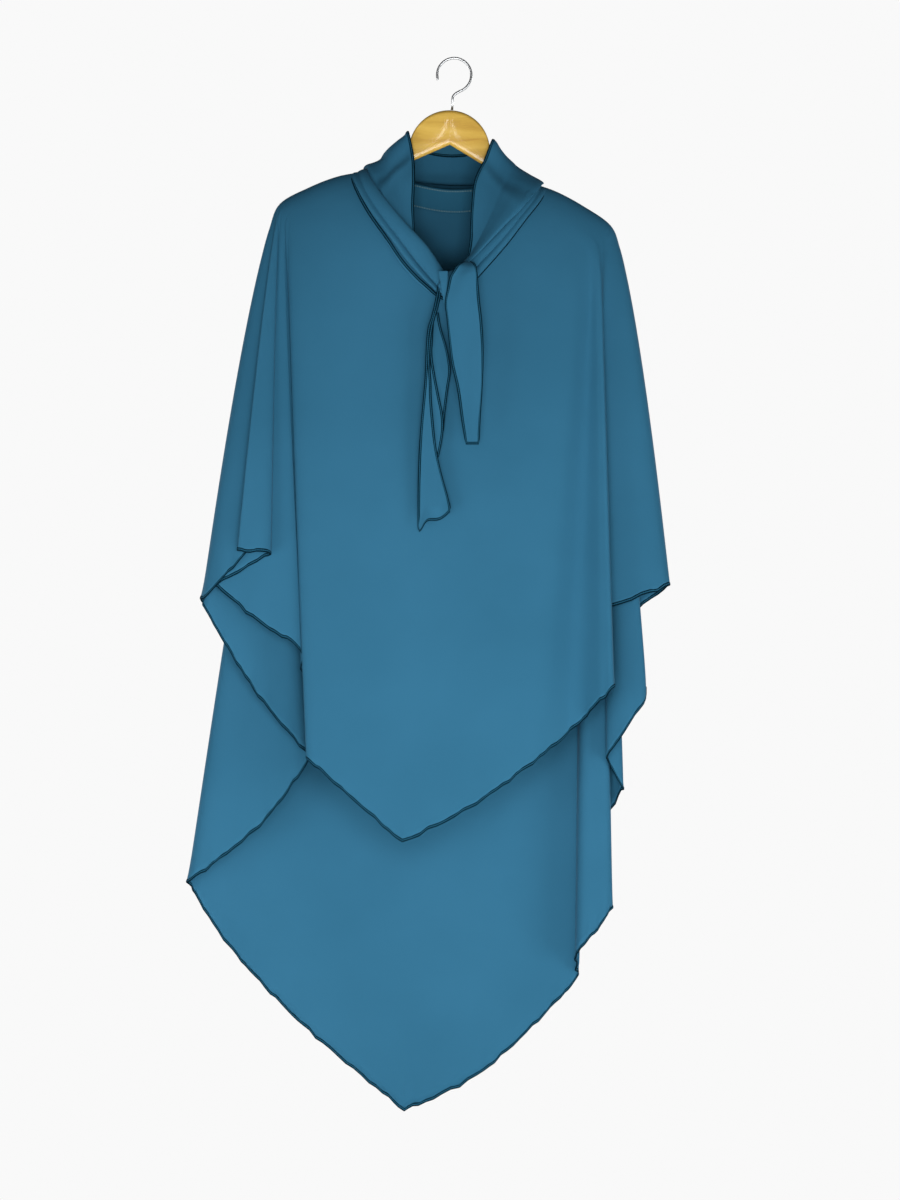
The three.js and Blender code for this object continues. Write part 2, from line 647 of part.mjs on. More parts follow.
const veil = new THREE.Group();
veil.add(piece('cape', clothGeometry(capeGrid(), true), teal));
veil.add(piece('hood', clothGeometry(hoodGrid(), true), teal));
veil.add(piece('nape_band', clothGeometry(bandGrid(), false), bandTeal));
veil.add(piece('neck_tie', sweptGeometry(tieRings(), true), teal));
const knot = piece('knot', knotGeometry(), teal);
knot.position.copy(knotCentre);
veil.add(knot);
veil.add(piece('tail_short', clothGeometry(shortTailGrid(), false), teal));
veil.add(piece('tail_long', clothGeometry(longTailGrid(), false), teal));

const hanger = new THREE.Group();
hanger.rotation.y = hangerTilt;
hanger.add(piece('hanger_wood', hangerGeometry(), wood));
hanger.add(piece('hanger_hook', hookGeometry(), steel));

const part = new THREE.Group();
part.add(veil, hanger);

export default part;
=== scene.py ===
"""A khimar veil on a wooden hanger: cape, fallen hood, nape band, neck tie with its tails, and the hanger."""

import logging
import math
from dataclasses import dataclass, field, replace
from enum import Enum

import bpy
import numpy as np
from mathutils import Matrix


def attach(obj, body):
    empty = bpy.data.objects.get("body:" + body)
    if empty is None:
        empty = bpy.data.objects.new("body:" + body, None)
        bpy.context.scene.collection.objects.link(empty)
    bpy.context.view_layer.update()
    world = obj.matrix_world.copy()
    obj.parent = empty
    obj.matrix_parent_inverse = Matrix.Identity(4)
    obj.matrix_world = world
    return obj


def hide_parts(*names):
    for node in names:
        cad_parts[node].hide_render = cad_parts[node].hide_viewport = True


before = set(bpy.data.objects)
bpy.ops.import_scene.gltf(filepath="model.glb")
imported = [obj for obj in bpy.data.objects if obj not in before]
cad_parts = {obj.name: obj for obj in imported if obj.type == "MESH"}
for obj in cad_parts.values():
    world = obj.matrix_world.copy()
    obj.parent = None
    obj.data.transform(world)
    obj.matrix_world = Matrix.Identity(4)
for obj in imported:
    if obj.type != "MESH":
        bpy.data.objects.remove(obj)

LOG = logging.getLogger("veil")
MM = 0.001
BODY = "root"
TURN = 2 * math.pi
Array = np.ndarray
Number = np.ndarray | float
Piece = bpy.types.Object
Socket = bpy.types.NodeSocket
Material = bpy.types.Material
Triple = tuple[float, float, float]
Pair = tuple[float, float]


class Held(Enum):
    """The ways in which a sheet of cloth is held."""

    DRAPED = "draped"
    HUNG = "hung"
    GATHERED = "gathered"
    FOLDED = "folded"


class Slot(Enum):
    """The record's material slots."""

    CLOTH = "cloth"
    BAND = "band_cloth"
    WOOD = "wood"
    WIRE = "wire"


class Light(Enum):
    """The studio's lamps."""

    LEFT = "softbox_left"
    RIGHT = "softbox_right"
    FRONT = "softbox_front"
    NECK = "neck_lamp"
    BACK_LEFT = "back_left_lamp"
    BACK_RIGHT = "back_right_lamp"
    STRIP = "strip_over_camera"


# ---------------------------------------------------------------- numbers and curves


def mix(a: Number, b: Number, t: Number) -> Number:
    """The value a share t of the way from a to b."""
    return a + (b - a) * t


def smooth(low: float, high: float, value: Number) -> Number:
    """A smooth step from 0 at low to 1 at high."""
    t = np.clip((value - low) / (high - low), 0.0, 1.0)
    return t * t * (3.0 - 2.0 * t)


def bump(centre: float, width: float, value: Number) -> Number:
    """A soft bell of height 1 round centre."""
    return np.exp(-(((value - centre) / width) ** 2))


def unit(v: Array) -> Array:
    """The vectors along the last axis, each one long."""
    return v / np.maximum(np.linalg.norm(v, axis=-1, keepdims=True), 1e-12)


def hermite(a: Array, slope_a: Array, b: Array, slope_b: Array, t: Array) -> Array:
    """A cubic from a to b with the slopes given at its ends.

    Args:
        a: the start.
        slope_a: the slope at the start.
        b: the end.
        slope_b: the slope at the end.
        t: shares of the way.

    Returns:
        The values at those shares.
    """
    t2, t3 = t * t, t * t * t
    start = (2 * t3 - 3 * t2 + 1) * a + (t3 - 2 * t2 + t) * slope_a
    return start + (3 * t2 - 2 * t3) * b + (t3 - t2) * slope_b


def refined(points: Array, steps: int) -> Array:
    """A smooth line through the points along the second axis, with steps new points for each span.

    Args:
        points: an array of lines, points and coordinates.
        steps: how many points each span is divided into.

    Returns:
        The finer array.
    """
    before = np.concatenate([2 * points[:, :1] - points[:, 1:2], points[:, :-1]], axis=1)
    after = np.concatenate([points[:, 1:], 2 * points[:, -1:] - points[:, -2:-1]], axis=1)
    slope = (after - before) / 2
    rows = []
    for k in range(points.shape[1] - 1):
        for s in range(steps):
            t = np.array(s / steps)
            rows.append(hermite(points[:, k], slope[:, k], points[:, k + 1], slope[:, k + 1], t))
    rows.append(points[:, -1])
    return np.stack(rows, axis=1)


def around(rows: list, column: str, at: Array) -> Array:
    """Smooth values round the neck, from a table that closes on itself.

    Args:
        rows: the table, with a girth in each row as a share of the way round.
        column: the column to read.
        at: the shares to read.

    Returns:
        A value for each share.
    """
    girths, values = [row.girth for row in rows], [getattr(row, column) for row in rows]
    g = np.array([girths[-2] - 1, girths[-1] - 1, *girths, girths[0] + 1, girths[1] + 1])
    v = np.array([values[-2], values[-1], *values, values[0], values[1]])
    slope = np.zeros_like(v)
    slope[1:-1] = (v[2:] - v[:-2]) / (g[2:] - g[:-2])
    k = np.clip(np.searchsorted(g, at, side="right") - 1, 1, len(g) - 3)
    span = g[k + 1] - g[k]
    return hermite(v[k], slope[k] * span, v[k + 1], slope[k + 1] * span, (at - g[k]) / span)


# ---------------------------------------------------------------- meshes


def slopes(grid: Array, ring: bool) -> tuple[Array, Array]:
    """The ways along and down a grid of points.

    Args:
        grid: columns, rows and coordinates.
        ring: whether the last column is followed by the first.

    Returns:
        The differences along the columns and down the rows.
    """
    if ring:
        along = np.roll(grid, -1, axis=0) - np.roll(grid, 1, axis=0)
    else:
        along = np.gradient(grid, axis=0)
    return along, np.gradient(grid, axis=1)


def normals(grid: Array, ring: bool) -> Array:
    """The unit normals of a grid of points."""
    along, down = slopes(grid, ring)
    return unit(np.cross(along, down))


def stood(name: str, data: bpy.types.ID) -> Piece:
    """Stands new data in the scene.

    Args:
        name: the object's name.
        data: its mesh, lamp or camera.

    Returns:
        The new object.
    """
    made = bpy.data.objects.new(name, data)
    bpy.context.scene.collection.objects.link(made)
    return made


def mesh_object(name: str, points: Array, faces: Array, uv: Array) -> Piece:
    """A smooth-shaded object from quads, with the faces turned outwards.

    Args:
        name: the piece's name.
        points: corners in millimetres.
        faces: four corner numbers a row.
        uv: two coordinates in metres for each corner of each face.

    Returns:
        The new object, in metres.
    """
    a, b, c, d = (points[faces[:, k]] for k in range(4))
    volume = (a * np.cross(b, c)).sum() + (a * np.cross(c, d)).sum()
    if volume < 0:
        faces, uv = faces[:, ::-1], uv[:, ::-1]
    mesh = bpy.data.meshes.new(name)
    mesh.from_pydata((points * MM).tolist(), [], faces.tolist())
    layer = mesh.uv_layers.new(name="cloth")
    layer.data.foreach_set("uv", uv.reshape(-1).astype(np.float32))
    mesh.polygons.foreach_set("use_smooth", np.ones(len(faces), bool))
    mesh.update()
    return stood(name, mesh)


def cloth_object(name: str, grid: Array, ring: bool, wall: float) -> Piece:
    """A sheet of cloth as a thin closed wall round a grid of points.

    Args:
        name: the piece's name.
        grid: columns, rows and coordinates of the middle surface, in millimetres.
        ring: whether the sheet closes on its first column.
        wall: the cloth's thickness.

    Returns:
        The new object.
    """
    columns, rows = grid.shape[:2]
    out = normals(grid, ring)
    points = np.concatenate([grid + out * wall / 2, grid - out * wall / 2]).reshape(-1, 3)
    spans = columns if ring else columns - 1
    step_u = np.linalg.norm(np.diff(np.concatenate([grid, grid[:1]]), axis=0), axis=2).mean(axis=1)
    u = np.concatenate([[0.0], np.cumsum(step_u)])
    v = np.concatenate([[0.0], np.cumsum(np.linalg.norm(np.diff(grid, axis=1), axis=2).mean(axis=0))])
    i, j = np.meshgrid(np.arange(spans), np.arange(rows - 1), indexing="ij")
    i, j = i.ravel(), j.ravel()
    edge, side = np.arange(spans), np.arange(rows - 1)
    top, low = np.zeros(spans, int), np.full(spans, rows - 1)
    quads = [
        [(0, i, j), (0, i + 1, j), (0, i + 1, j + 1), (0, i, j + 1)],
        [(1, i, j + 1), (1, i + 1, j + 1), (1, i + 1, j), (1, i, j)],
        [(1, edge, top), (1, edge + 1, top), (0, edge + 1, top), (0, edge, top)],
        [(0, edge, low), (0, edge + 1, low), (1, edge + 1, low), (1, edge, low)],
    ]
    if not ring:
        first, last = np.zeros(rows - 1, int), np.full(rows - 1, columns - 1)
        quads += [
            [(1, first, side), (0, first, side), (0, first, side + 1), (1, first, side + 1)],
            [(0, last, side), (1, last, side), (1, last, side + 1), (0, last, side + 1)],
        ]
    faces = [np.stack([(w * columns + p % columns) * rows + q for w, p, q in quad], axis=1) for quad in quads]
    coords = [np.stack([np.stack([u[p], v[q]], axis=-1) for _, p, q in quad], axis=1) for quad in quads]
    return mesh_object(name, points, np.concatenate(faces), np.concatenate(coords) * MM)


def swept_object(name: str, rings: Array, closed: bool) -> Piece:
    """A solid swept through rings of points, with both ends capped unless it closes on itself.

    Args:
        name: the piece's name.
        rings: stations, sides and coordinates, in millimetres.
        closed: whether the last ring is followed by the first.

    Returns:
        The new object.
    """
    count, sides = rings.shape[:2]
    spans = count if closed else count - 1
    middle = rings.mean(axis=1)
    steps = np.diff(np.concatenate([middle, middle[:1]]), axis=0)
    u = np.concatenate([[0.0], np.cumsum(np.linalg.norm(steps, axis=1))])
    k, s = np.meshgrid(np.arange(spans), np.arange(sides), indexing="ij")
    k, s = k.ravel(), s.ravel()

    corners = [(k, s), (k, s + 1), (k + 1, s + 1), (k + 1, s)]
    faces = np.stack([(at % count) * sides + turn % sides for at, turn in corners], axis=1)
    uv = np.stack([np.stack([u[at] * MM, turn / sides], axis=-1) for at, turn in corners], axis=1)
    points = rings.reshape(-1, 3)
    if not closed:
        base, tail = len(points), (count - 1) * sides
        points = np.concatenate([points, np.stack([middle[0], middle[-1]])])
        pairs = np.arange(0, sides - 1, 2)
        third = (pairs + 2) % sides
        first = np.stack([np.full(len(pairs), base), third, pairs + 1, pairs], axis=1)
        last = np.stack([np.full(len(pairs), base + 1), tail + pairs, tail + pairs + 1, tail + third], axis=1)
        caps = np.concatenate([first, last])
        faces = np.concatenate([faces, caps])
        uv = np.concatenate([uv, np.zeros((len(caps), 4, 2))])
    return mesh_object(name, points, faces, uv)


@dataclass(frozen=True)
class Overlock:
    """The sizes of an overlocked edge, in millimetres."""

    width: float = 5.2
    height: float = 2.3
    proud: float = 0.9
    sides: int = 12


def overlock_object(
    name: str, path: Array, inward: Array, out: Array, seam: Overlock, closed: bool
) -> Piece:
    """An overlocked edge: a flat roll of thread that wraps an edge of the cloth.

    Args:
        name: the piece's name.
        path: the cloth's edge, in millimetres.
        inward: unit vectors from the edge into the cloth.
        out: unit normals of the cloth.
        seam: the roll's sizes.
        closed: whether the edge is a loop.

    Returns:
        The new object.
    """
    angle = np.linspace(0, TURN, seam.sides, endpoint=False)
    across = np.cos(angle)[None, :, None] * seam.width / 2
    high = np.sin(angle)[None, :, None] * seam.height / 2
    centre = path + inward * (seam.width / 2 - seam.proud)
    rings = centre[:, None] + inward[:, None] * across + out[:, None] * high
    return swept_object(name, rings, closed)


# ---------------------------------------------------------------- finishes


class Nodes:
    """Builds a material's nodes."""

    def __init__(self, name: str) -> None:
        """Starts a material with an empty principled shader.

        Args:
            name: the material's name.
        """
        self.material = bpy.data.materials.new(name)
        self.material.use_nodes = True
        self.tree = self.material.node_tree
        self.shader = self.tree.nodes["Principled BSDF"]

    def fill(self, node: bpy.types.Node, values: dict) -> None:
        """Sets a node's inputs, or joins them to other nodes.

        Args:
            node: the node.
            values: numbers, colours and sockets, by the input's name or number.
        """
        for key, value in values.items():
            if isinstance(value, Socket):
                self.tree.links.new(value, node.inputs[key])
            else:
                node.inputs[key].default_value = value

    def add(self, kind: str, values: dict) -> bpy.types.bpy_prop_collection:
        """A new node's outputs.

        Args:
            kind: the node's type name.
            values: its inputs.

        Returns:
            The outputs.
        """
        node = self.tree.nodes.new(kind)
        self.fill(node, values)
        return node.outputs

    def maths(self, how: str, *values: object) -> Socket:
        """A math node's result.

        Args:
            how: the operation.
            *values: numbers and sockets.

        Returns:
            The result.
        """
        node = self.tree.nodes.new("ShaderNodeMath")
        node.operation = how
        self.fill(node, dict(enumerate(values)))
        return node.outputs[0]

    def waves(self, along: Socket, length: float) -> Socket:
        """A sine along a coordinate, from the length of one wave."""
        return self.maths("SINE", self.maths("MULTIPLY", along, TURN / length))

    def place(self, kind: str) -> Socket:
        """A texture coordinate: Object, or UV for places on the cloth."""
        return self.add("ShaderNodeTexCoord", {})[kind]

    def cloth(self) -> tuple[Socket, Socket]:
        """The two coordinates on the cloth or round the thread."""
        axes = self.add("ShaderNodeSeparateXYZ", {0: self.place("UV")})
        return axes[0], axes[1]

    def noise(self, scale: float | Triple, detail: float, rough: float = 0.5, warp: float = 0.0) -> Socket:
        """Noise over the object.

        Args:
            scale: how fine it is, as one number or one for each axis.
            detail: how many layers it has.
            rough: how strong the finer layers are.
            warp: how much it is bent.

        Returns:
            The noise's value.
        """
        place = self.place("Object")
        if isinstance(scale, tuple):
            place, scale = self.add("ShaderNodeMapping", {"Vector": place, "Scale": scale})[0], 1.0
        values = {"Vector": place, "Scale": scale, "Detail": detail, "Roughness": rough, "Distortion": warp}
        return self.add("ShaderNodeTexNoise", values)[0]

    def ramp(self, factor: Socket, *stops: tuple[float, Triple]) -> Socket:
        """A colour ramp's colour.

        Args:
            factor: where on the ramp.
            *stops: places and their colours.

        Returns:
            The colour.
        """
        node = self.tree.nodes.new("ShaderNodeValToRGB")
        ramp = node.color_ramp
        while len(ramp.elements) < len(stops):
            ramp.elements.new(0.5)
        for element, (place, colour) in zip(ramp.elements, stops):
            element.position = place
            element.color = (*colour, 1.0)
        self.fill(node, {0: factor})
        return node.outputs[0]

    def bumped(self, *layers: tuple[Socket, float, float]) -> Socket:
        """Bump nodes, one on top of the other.

        Args:
            *layers: a height, a strength and a distance in metres each.

        Returns:
            The last one's normal.
        """
        normal = {}
        for height, strength, distance in layers:
            values = {"Height": height, "Strength": strength, "Distance": distance, **normal}
            normal = {"Normal": self.add("ShaderNodeBump", values)[0]}
        return normal["Normal"]

    def done(self, values: dict) -> Material:
        """The finished material, with its shader's inputs set."""
        self.fill(self.shader, values)
        return self.material


@dataclass(frozen=True)
class Crepe:
    """Plain matte crepe: a fine weave, a soft sheen and a slow change of shade."""

    name: str = "teal_crepe"
    deep: Triple = (0.0200, 0.106, 0.184)
    pale: Triple = (0.0235, 0.118, 0.204)
    roughness: float = 0.85
    specular: float = 0.1
    sheen: float = 0.04
    thread: float = 0.00052

    def make(self) -> Material:
        """Builds the material.

        Returns:
            The material.
        """
        n = Nodes(self.name)
        warp, weft = (n.waves(way, self.thread) for way in n.cloth())
        slack, grain = n.noise(26.0, 2.0, 0.4), n.noise(620.0, 2.0, 0.6)
        weave = n.maths("MULTIPLY", warp, weft)
        return n.done({
            "Base Color": n.ramp(n.noise(5.0, 3.0), (0.32, self.deep), (0.68, self.pale)),
            "Normal": n.bumped((slack, 0.35, 0.0022), (grain, 0.12, 0.0004), (weave, 0.1, 0.00012)),
            "Roughness": self.roughness,
            "Specular IOR Level": self.specular,
            "Sheen Weight": self.sheen,
            "Sheen Roughness": 0.4,
            "Sheen Tint": (0.55, 0.85, 1.0, 1.0),
        })


@dataclass(frozen=True)
class Thread:
    """Overlock thread: dark rows of stitches along both sides of a paler roll, the dark partly the thread's
    own colour and partly painted shade where the roll meets the cloth and turns at its edge.
    """

    name: str = "overlock_thread_and_shade"
    dark: Triple = (0.0008, 0.012, 0.021)
    roll: Triple = (0.015, 0.088, 0.152)
    stitch: float = 0.0026
    unevenness: float = 0.07
    lean: float = 1.6

    def make(self) -> Material:
        """Builds the material.

        Returns:
            The material.
        """
        n = Nodes(self.name)
        along, turn = n.cloth()
        across = n.maths("COSINE", n.maths("MULTIPLY", turn, TURN))
        uneven = n.maths("MULTIPLY", n.waves(along, self.stitch), self.unevenness)
        # near 1 at both sides of the roll, where the dark goes: thread colour and painted shade together
        edge = n.maths("ADD", n.maths("ABSOLUTE", across), uneven)
        lean = n.maths("MULTIPLY", across, self.lean)
        stitches = n.maths("SINE", n.maths("ADD", n.maths("MULTIPLY", along, TURN / self.stitch), lean))
        return n.done({
            "Base Color": n.ramp(edge, (0.12, self.roll), (0.30, self.dark)),
            "Normal": n.bumped((stitches, 0.5, 0.0004)),
            "Roughness": 0.95,
            "Specular IOR Level": 0.04,
        })


@dataclass(frozen=True)
class SeamThread:
    """The pale thread of a flat seam, in short stitches."""

    name: str = "seam_thread"
    pale: Triple = (0.105, 0.235, 0.290)
    dark: Triple = (0.030, 0.120, 0.180)
    stitch: float = 0.0034

    def make(self) -> Material:
        """Builds the material.

        Returns:
            The material.
        """
        n = Nodes(self.name)
        rows = n.waves(n.cloth()[0], self.stitch)
        colour = n.ramp(rows, (0.25, self.dark), (0.6, self.pale))
        return n.done({"Base Color": colour, "Normal": n.bumped((rows, 0.5, 0.0004)), "Roughness": 0.65})


@dataclass(frozen=True)
class Varnish:
    """Varnished pale hardwood: long grain with fine pores, under a clear coat."""

    name: str = "varnished_wood"
    light: Triple = (0.66, 0.43, 0.080)
    middle: Triple = (0.58, 0.36, 0.056)
    dark: Triple = (0.44, 0.235, 0.030)
    pore_share: float = 0.18

    def make(self) -> Material:
        """Builds the material.

        Returns:
            The material.
        """
        n = Nodes(self.name)
        grain = n.maths("MULTIPLY", n.noise((5.0, 30.0, 46.0), 6.0, 0.62, 0.5), 1 - self.pore_share)
        pores = n.maths("MULTIPLY", n.noise((60.0, 600.0, 900.0), 3.0, 0.7), self.pore_share)
        shade = n.maths("ADD", grain, pores)
        return n.done({
            "Base Color": n.ramp(shade, (0.34, self.dark), (0.5, self.middle), (0.66, self.light)),
            "Normal": n.bumped((shade, 0.12, 0.0004)),
            "Roughness": 0.6,
            "Specular IOR Level": 0.2,
            "Coat Weight": 0.6,
            "Coat Roughness": 0.08,
        })


@dataclass(frozen=True)
class Wire:
    """Drawn steel wire, with faint scratches along it."""

    name: str = "hook_wire"
    colour: Triple = (0.42, 0.43, 0.44)

    def make(self) -> Material:
        """Builds the material.

        Returns:
            The material.
        """
        n = Nodes(self.name)
        marks = n.noise(900.0, 2.0)
        dull = tuple(0.9 * c for c in self.colour)
        rough = n.maths("ADD", n.maths("MULTIPLY", marks, 0.15), 0.18)
        colour = n.ramp(marks, (0.3, dull), (0.7, self.colour))
        return n.done({"Base Color": colour, "Roughness": rough, "Metallic": 1.0})


@dataclass(frozen=True)
class Paint:
    """Plain matt studio white for the floor."""

    name: str = "studio_floor"
    shade: float = 0.86

    def make(self) -> Material:
        """Builds the material."""
        colour = (self.shade, self.shade, self.shade, 1.0)
        return Nodes(self.name).done({"Base Color": colour, "Roughness": 0.9})


LINING = Crepe(name="band_crepe", deep=(0.0175, 0.102, 0.176), pale=(0.0195, 0.112, 0.194))


@dataclass
class Finishes:
    """Every material of the veil and its hanger, made once."""

    crepe: Material = field(default_factory=lambda: Crepe().make())
    band: Material = field(default_factory=lambda: LINING.make())
    thread: Material = field(default_factory=lambda: Thread().make())
    seam: Material = field(default_factory=lambda: SeamThread().make())
    wood: Material = field(default_factory=lambda: Varnish().make())
    wire: Material = field(default_factory=lambda: Wire().make())


def placed(piece: Piece, finish: Material, slot: Slot, *nodes: str) -> Piece:
    """Dresses a piece, hangs it on the body and hides the solids that it stands for.

    Args:
        piece: the object.
        finish: its material.
        slot: not used.
        *nodes: the solids that it replaces.

    Returns:
        The same object.
    """
    piece.data.materials.clear()
    piece.data.materials.append(finish)
    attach(piece, BODY)
    if nodes:
        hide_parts(*nodes)
    LOG.info("%s: %d faces", piece.name, len(piece.data.polygons))
    return piece


# ---------------------------------------------------------------- the shoulder line


@dataclass(frozen=True)
class LoopSize:
    """A loop of cloth over the hanger's arms, in millimetres: its reach, and how far it hangs."""

    half_width: float
    front_depth: float
    back_depth: float
    front_drop: float
    back_drop: float


@dataclass(frozen=True)
class Shoulders:
    """The hanger's shoulder line, which the cape, the hood and the tie all follow."""

    half_width: float = 218.0
    tilt: float = math.radians(3.7)
    below_hook: float = 210.0
    slope: float = 0.414
    clear: float = 2.3
    fullness: float = 0.8
    point: float = 0.75
    nape_softness: float = 0.3
    read_ahead: float = 0.007
    neck: LoopSize = LoopSize(106.0, 62.0, 38.0, 138.0, 22.0)
    yoke: LoopSize = LoopSize(220.3, 55.0, 50.0, 170.0, 118.0)

    def arm_top(self, across: Number) -> Number:
        """The height of the hanger's top edge outside its head."""
        return -self.below_hook + (self.half_width - np.abs(across)) * self.slope

    def loop(self, girth: Array, size: LoopSize) -> Array:
        """Points of a loop of cloth over the arms.

        Args:
            girth: shares of the way round, from the front by the photo's left.
            size: the loop's sizes.

        Returns:
            A point for each share.
        """
        angle = TURN * np.asarray(girth, float)
        facing = np.cos(angle)
        soft = self.nape_softness
        round_side = (np.sqrt(np.sin(angle) ** 2 + soft ** 2) - soft) / (math.sqrt(1 + soft ** 2) - soft)
        side = np.where(facing > 0, np.abs(np.sin(angle)), round_side)
        deep = np.where(facing > 0, -size.front_depth, size.back_depth) * np.abs(facing) ** self.fullness
        drop = np.where(facing > 0, size.front_drop, size.back_drop) * np.maximum(1 - side, 0) ** self.point
        across = -size.half_width * np.sin(angle)
        height = self.arm_top(size.half_width) + self.clear
        x = across * math.cos(self.tilt) + height * math.sin(self.tilt)
        z = height * math.cos(self.tilt) - across * math.sin(self.tilt) - drop
        return np.stack([x, deep, z], axis=-1)

    def seam_frame(self, girth: Array) -> tuple[Array, Array, Array]:
        """The neck seam and the cape's surface beside it.

        Args:
            girth: shares of the way round.

        Returns:
            The seam's points, the unit ways out of the surface and the unit ways down it.
        """
        seam = self.loop(girth, self.neck)
        before, after = (self.loop(girth + way * self.read_ahead, self.neck) for way in (-1, 1))
        ahead = unit(after - before)
        out = unit(np.cross(ahead, self.loop(girth, self.yoke) - seam))
        return seam, out, unit(np.cross(out, ahead))


@dataclass
class Part:
    """What each part is built from: the shoulder line that it follows, and the materials."""

    shoulders: Shoulders
    finishes: Finishes


# ---------------------------------------------------------------- the cape


@dataclass(frozen=True)
class Fold:
    """A fold of the cape, with its places as shares of the cape's sizes. With no roll it runs on unfolded."""

    name: str
    girth: float
    across: float
    depth: float
    fall: float
    flare: float
    roll: float | None = None


LEFT_FRONT = [
    Fold("front_point", 0.0, -0.173, -1.0, 1.0, 1.0, 0.0),
    Fold("panel_edge", 0.2, -0.541, -0.93, 0.661, 1.2, 1.2),
    Fold("inner_tuck", 0.21, -0.409, -0.76, 0.48, 1.5, 0.8),
    Fold("pleat_drop", 0.2135, -0.548, -0.75, 0.335, 1.35),
    Fold("pleat_step", 0.217, -0.566, -0.78, 0.225, 1.25),
    Fold("pleat_sag", 0.221, -0.725, -0.78, 0.115, 1.15),
    Fold("pleat_back", 0.225, -0.889, -0.72, -0.032, 1.0, -0.9),
    Fold("pleat_edge", 0.235, -0.676, -0.85, -0.161, 0.5, -0.9),
    Fold("pleat_ridge", 0.243, -0.802, -1.06, -0.17, 0.8),
    Fold("ridge_tuck", 0.2452, -0.775, -0.9, -0.16, 0.8),
]
LEFT_BACK = [
    Fold("side_edge", 0.25, -0.943, -0.56, 0.0135, 0.72, 2.0),
    Fold("side_drop", 0.256, -0.91, -0.47, 0.0506, 0.85),
    Fold("side_slope", 0.264, -0.727, -0.36, 0.1975, 1.1),
    Fold("side_tuck", 0.275, -0.525, -0.15, 0.316, 1.3, 1.25),
    Fold("wing_sag", 0.3, -0.722, 0.02, 0.447, 1.1),
    Fold("wing_edge", 0.32, -1.001, 0.28, 0.557, 0.9, 2.0),
    Fold("back_left", 0.37, -0.847, 0.78, 0.68, 1.0),
    Fold("back_slope", 0.44, -0.556, 0.93, 0.836, 1.0),
]
RIGHT_FRONT = [
    Fold("panel_slope", 0.09, 0.089, -1.0, 0.859, 1.0),
    Fold("panel_rise", 0.148, 0.33, -0.93, 0.68, 1.1),
    Fold("panel_valley", 0.173, 0.49, -0.66, 0.54, 1.05),
    Fold("panel_ridge", 0.186, 0.6, -0.94, 0.42, 1.02),
    Fold("panel_edge", 0.194, 0.642, -0.875, 0.375, 1.0, 1.0),
    Fold("inner_tuck", 0.207, 0.525, -0.55, 0.097, 1.5, 1.0),
]
RIGHT_BACK = [
    Fold("side_edge", 0.25, 0.858, -0.31, -0.0155, 0.66, 2.25),
    Fold("side_tuck", 0.262, 0.688, -0.12, 0.048, 1.2, -0.8),
    Fold("flap_edge", 0.27, 0.772, -0.34, 0.2, 1.0, -0.9),
    Fold("flap_back", 0.279, 0.614, -0.14, 0.318, 1.0, 1.5),
    Fold("wing_edge", 0.288, 0.681, 0.16, 0.378, 1.0, 0.95),
    Fold("wing_tuck", 0.297, 0.553, 0.48, 0.48, 1.2, -0.9),
    Fold("back_edge", 0.305, 0.638, 0.13, 0.607, 1.0, -0.95),
    Fold("back_ridge", 0.32, 0.56, 0.04, 0.661, 1.0),
    Fold("back_step", 0.333, 0.505, 0.14, 0.69, 1.0),
    Fold("back_valley", 0.342, 0.497, 0.6, 0.722, 1.0),
    Fold("back_corner", 0.352, 0.484, 0.74, 0.756, 1.0),
    Fold("back_slope", 0.42, 0.143, 0.92, 0.922, 1.0),
    Fold("back_point", 0.5, -0.166, 1.0, 1.0, 1.0, 0.0),
]

YOKE_ROWS = (0.0, 0.34, 0.68)
FALL_ROWS = (0, 0.06, 0.14, 0.24, 0.35, 0.46, 0.57, 0.68, 0.79, 0.9, 1.0)
SHOULDER_RISE = (0.4, 0.95, 0.8, 0.1)


@dataclass(frozen=True)
class Wave:
    """A wave along the hem: its height in millimetres, its count round the veil, its start and its wobble."""

    height: float
    count: int
    start: float = 0.0
    wobble: float = 0.0


SOFT_WAVES = (Wave(1.6, 19, 0.6), Wave(1.2, 31, 2.1), Wave(0.7, 47, 4.0))
HEM_WAVES = (Wave(0.9, 83, 1.3, 0.7), Wave(0.7, 127, 0.4), Wave(0.5, 191, 2.2))
WOBBLE_COUNT = 11
HEM_SWAY = (Wave(1.1, 71, 0.9), Wave(0.8, 113, 2.6), Wave(0.5, 167))


def waved(waves: tuple[Wave, ...], turns: Array) -> Array:
    """The sum of waves, as a column.

    Args:
        waves: the waves.
        turns: places round the veil as angles.

    Returns:
        A height for each place.
    """
    uneven = np.sin(turns * WOBBLE_COUNT)
    return sum(w.height * np.sin(turns * w.count + w.start + w.wobble * uneven) for w in waves)[:, None]


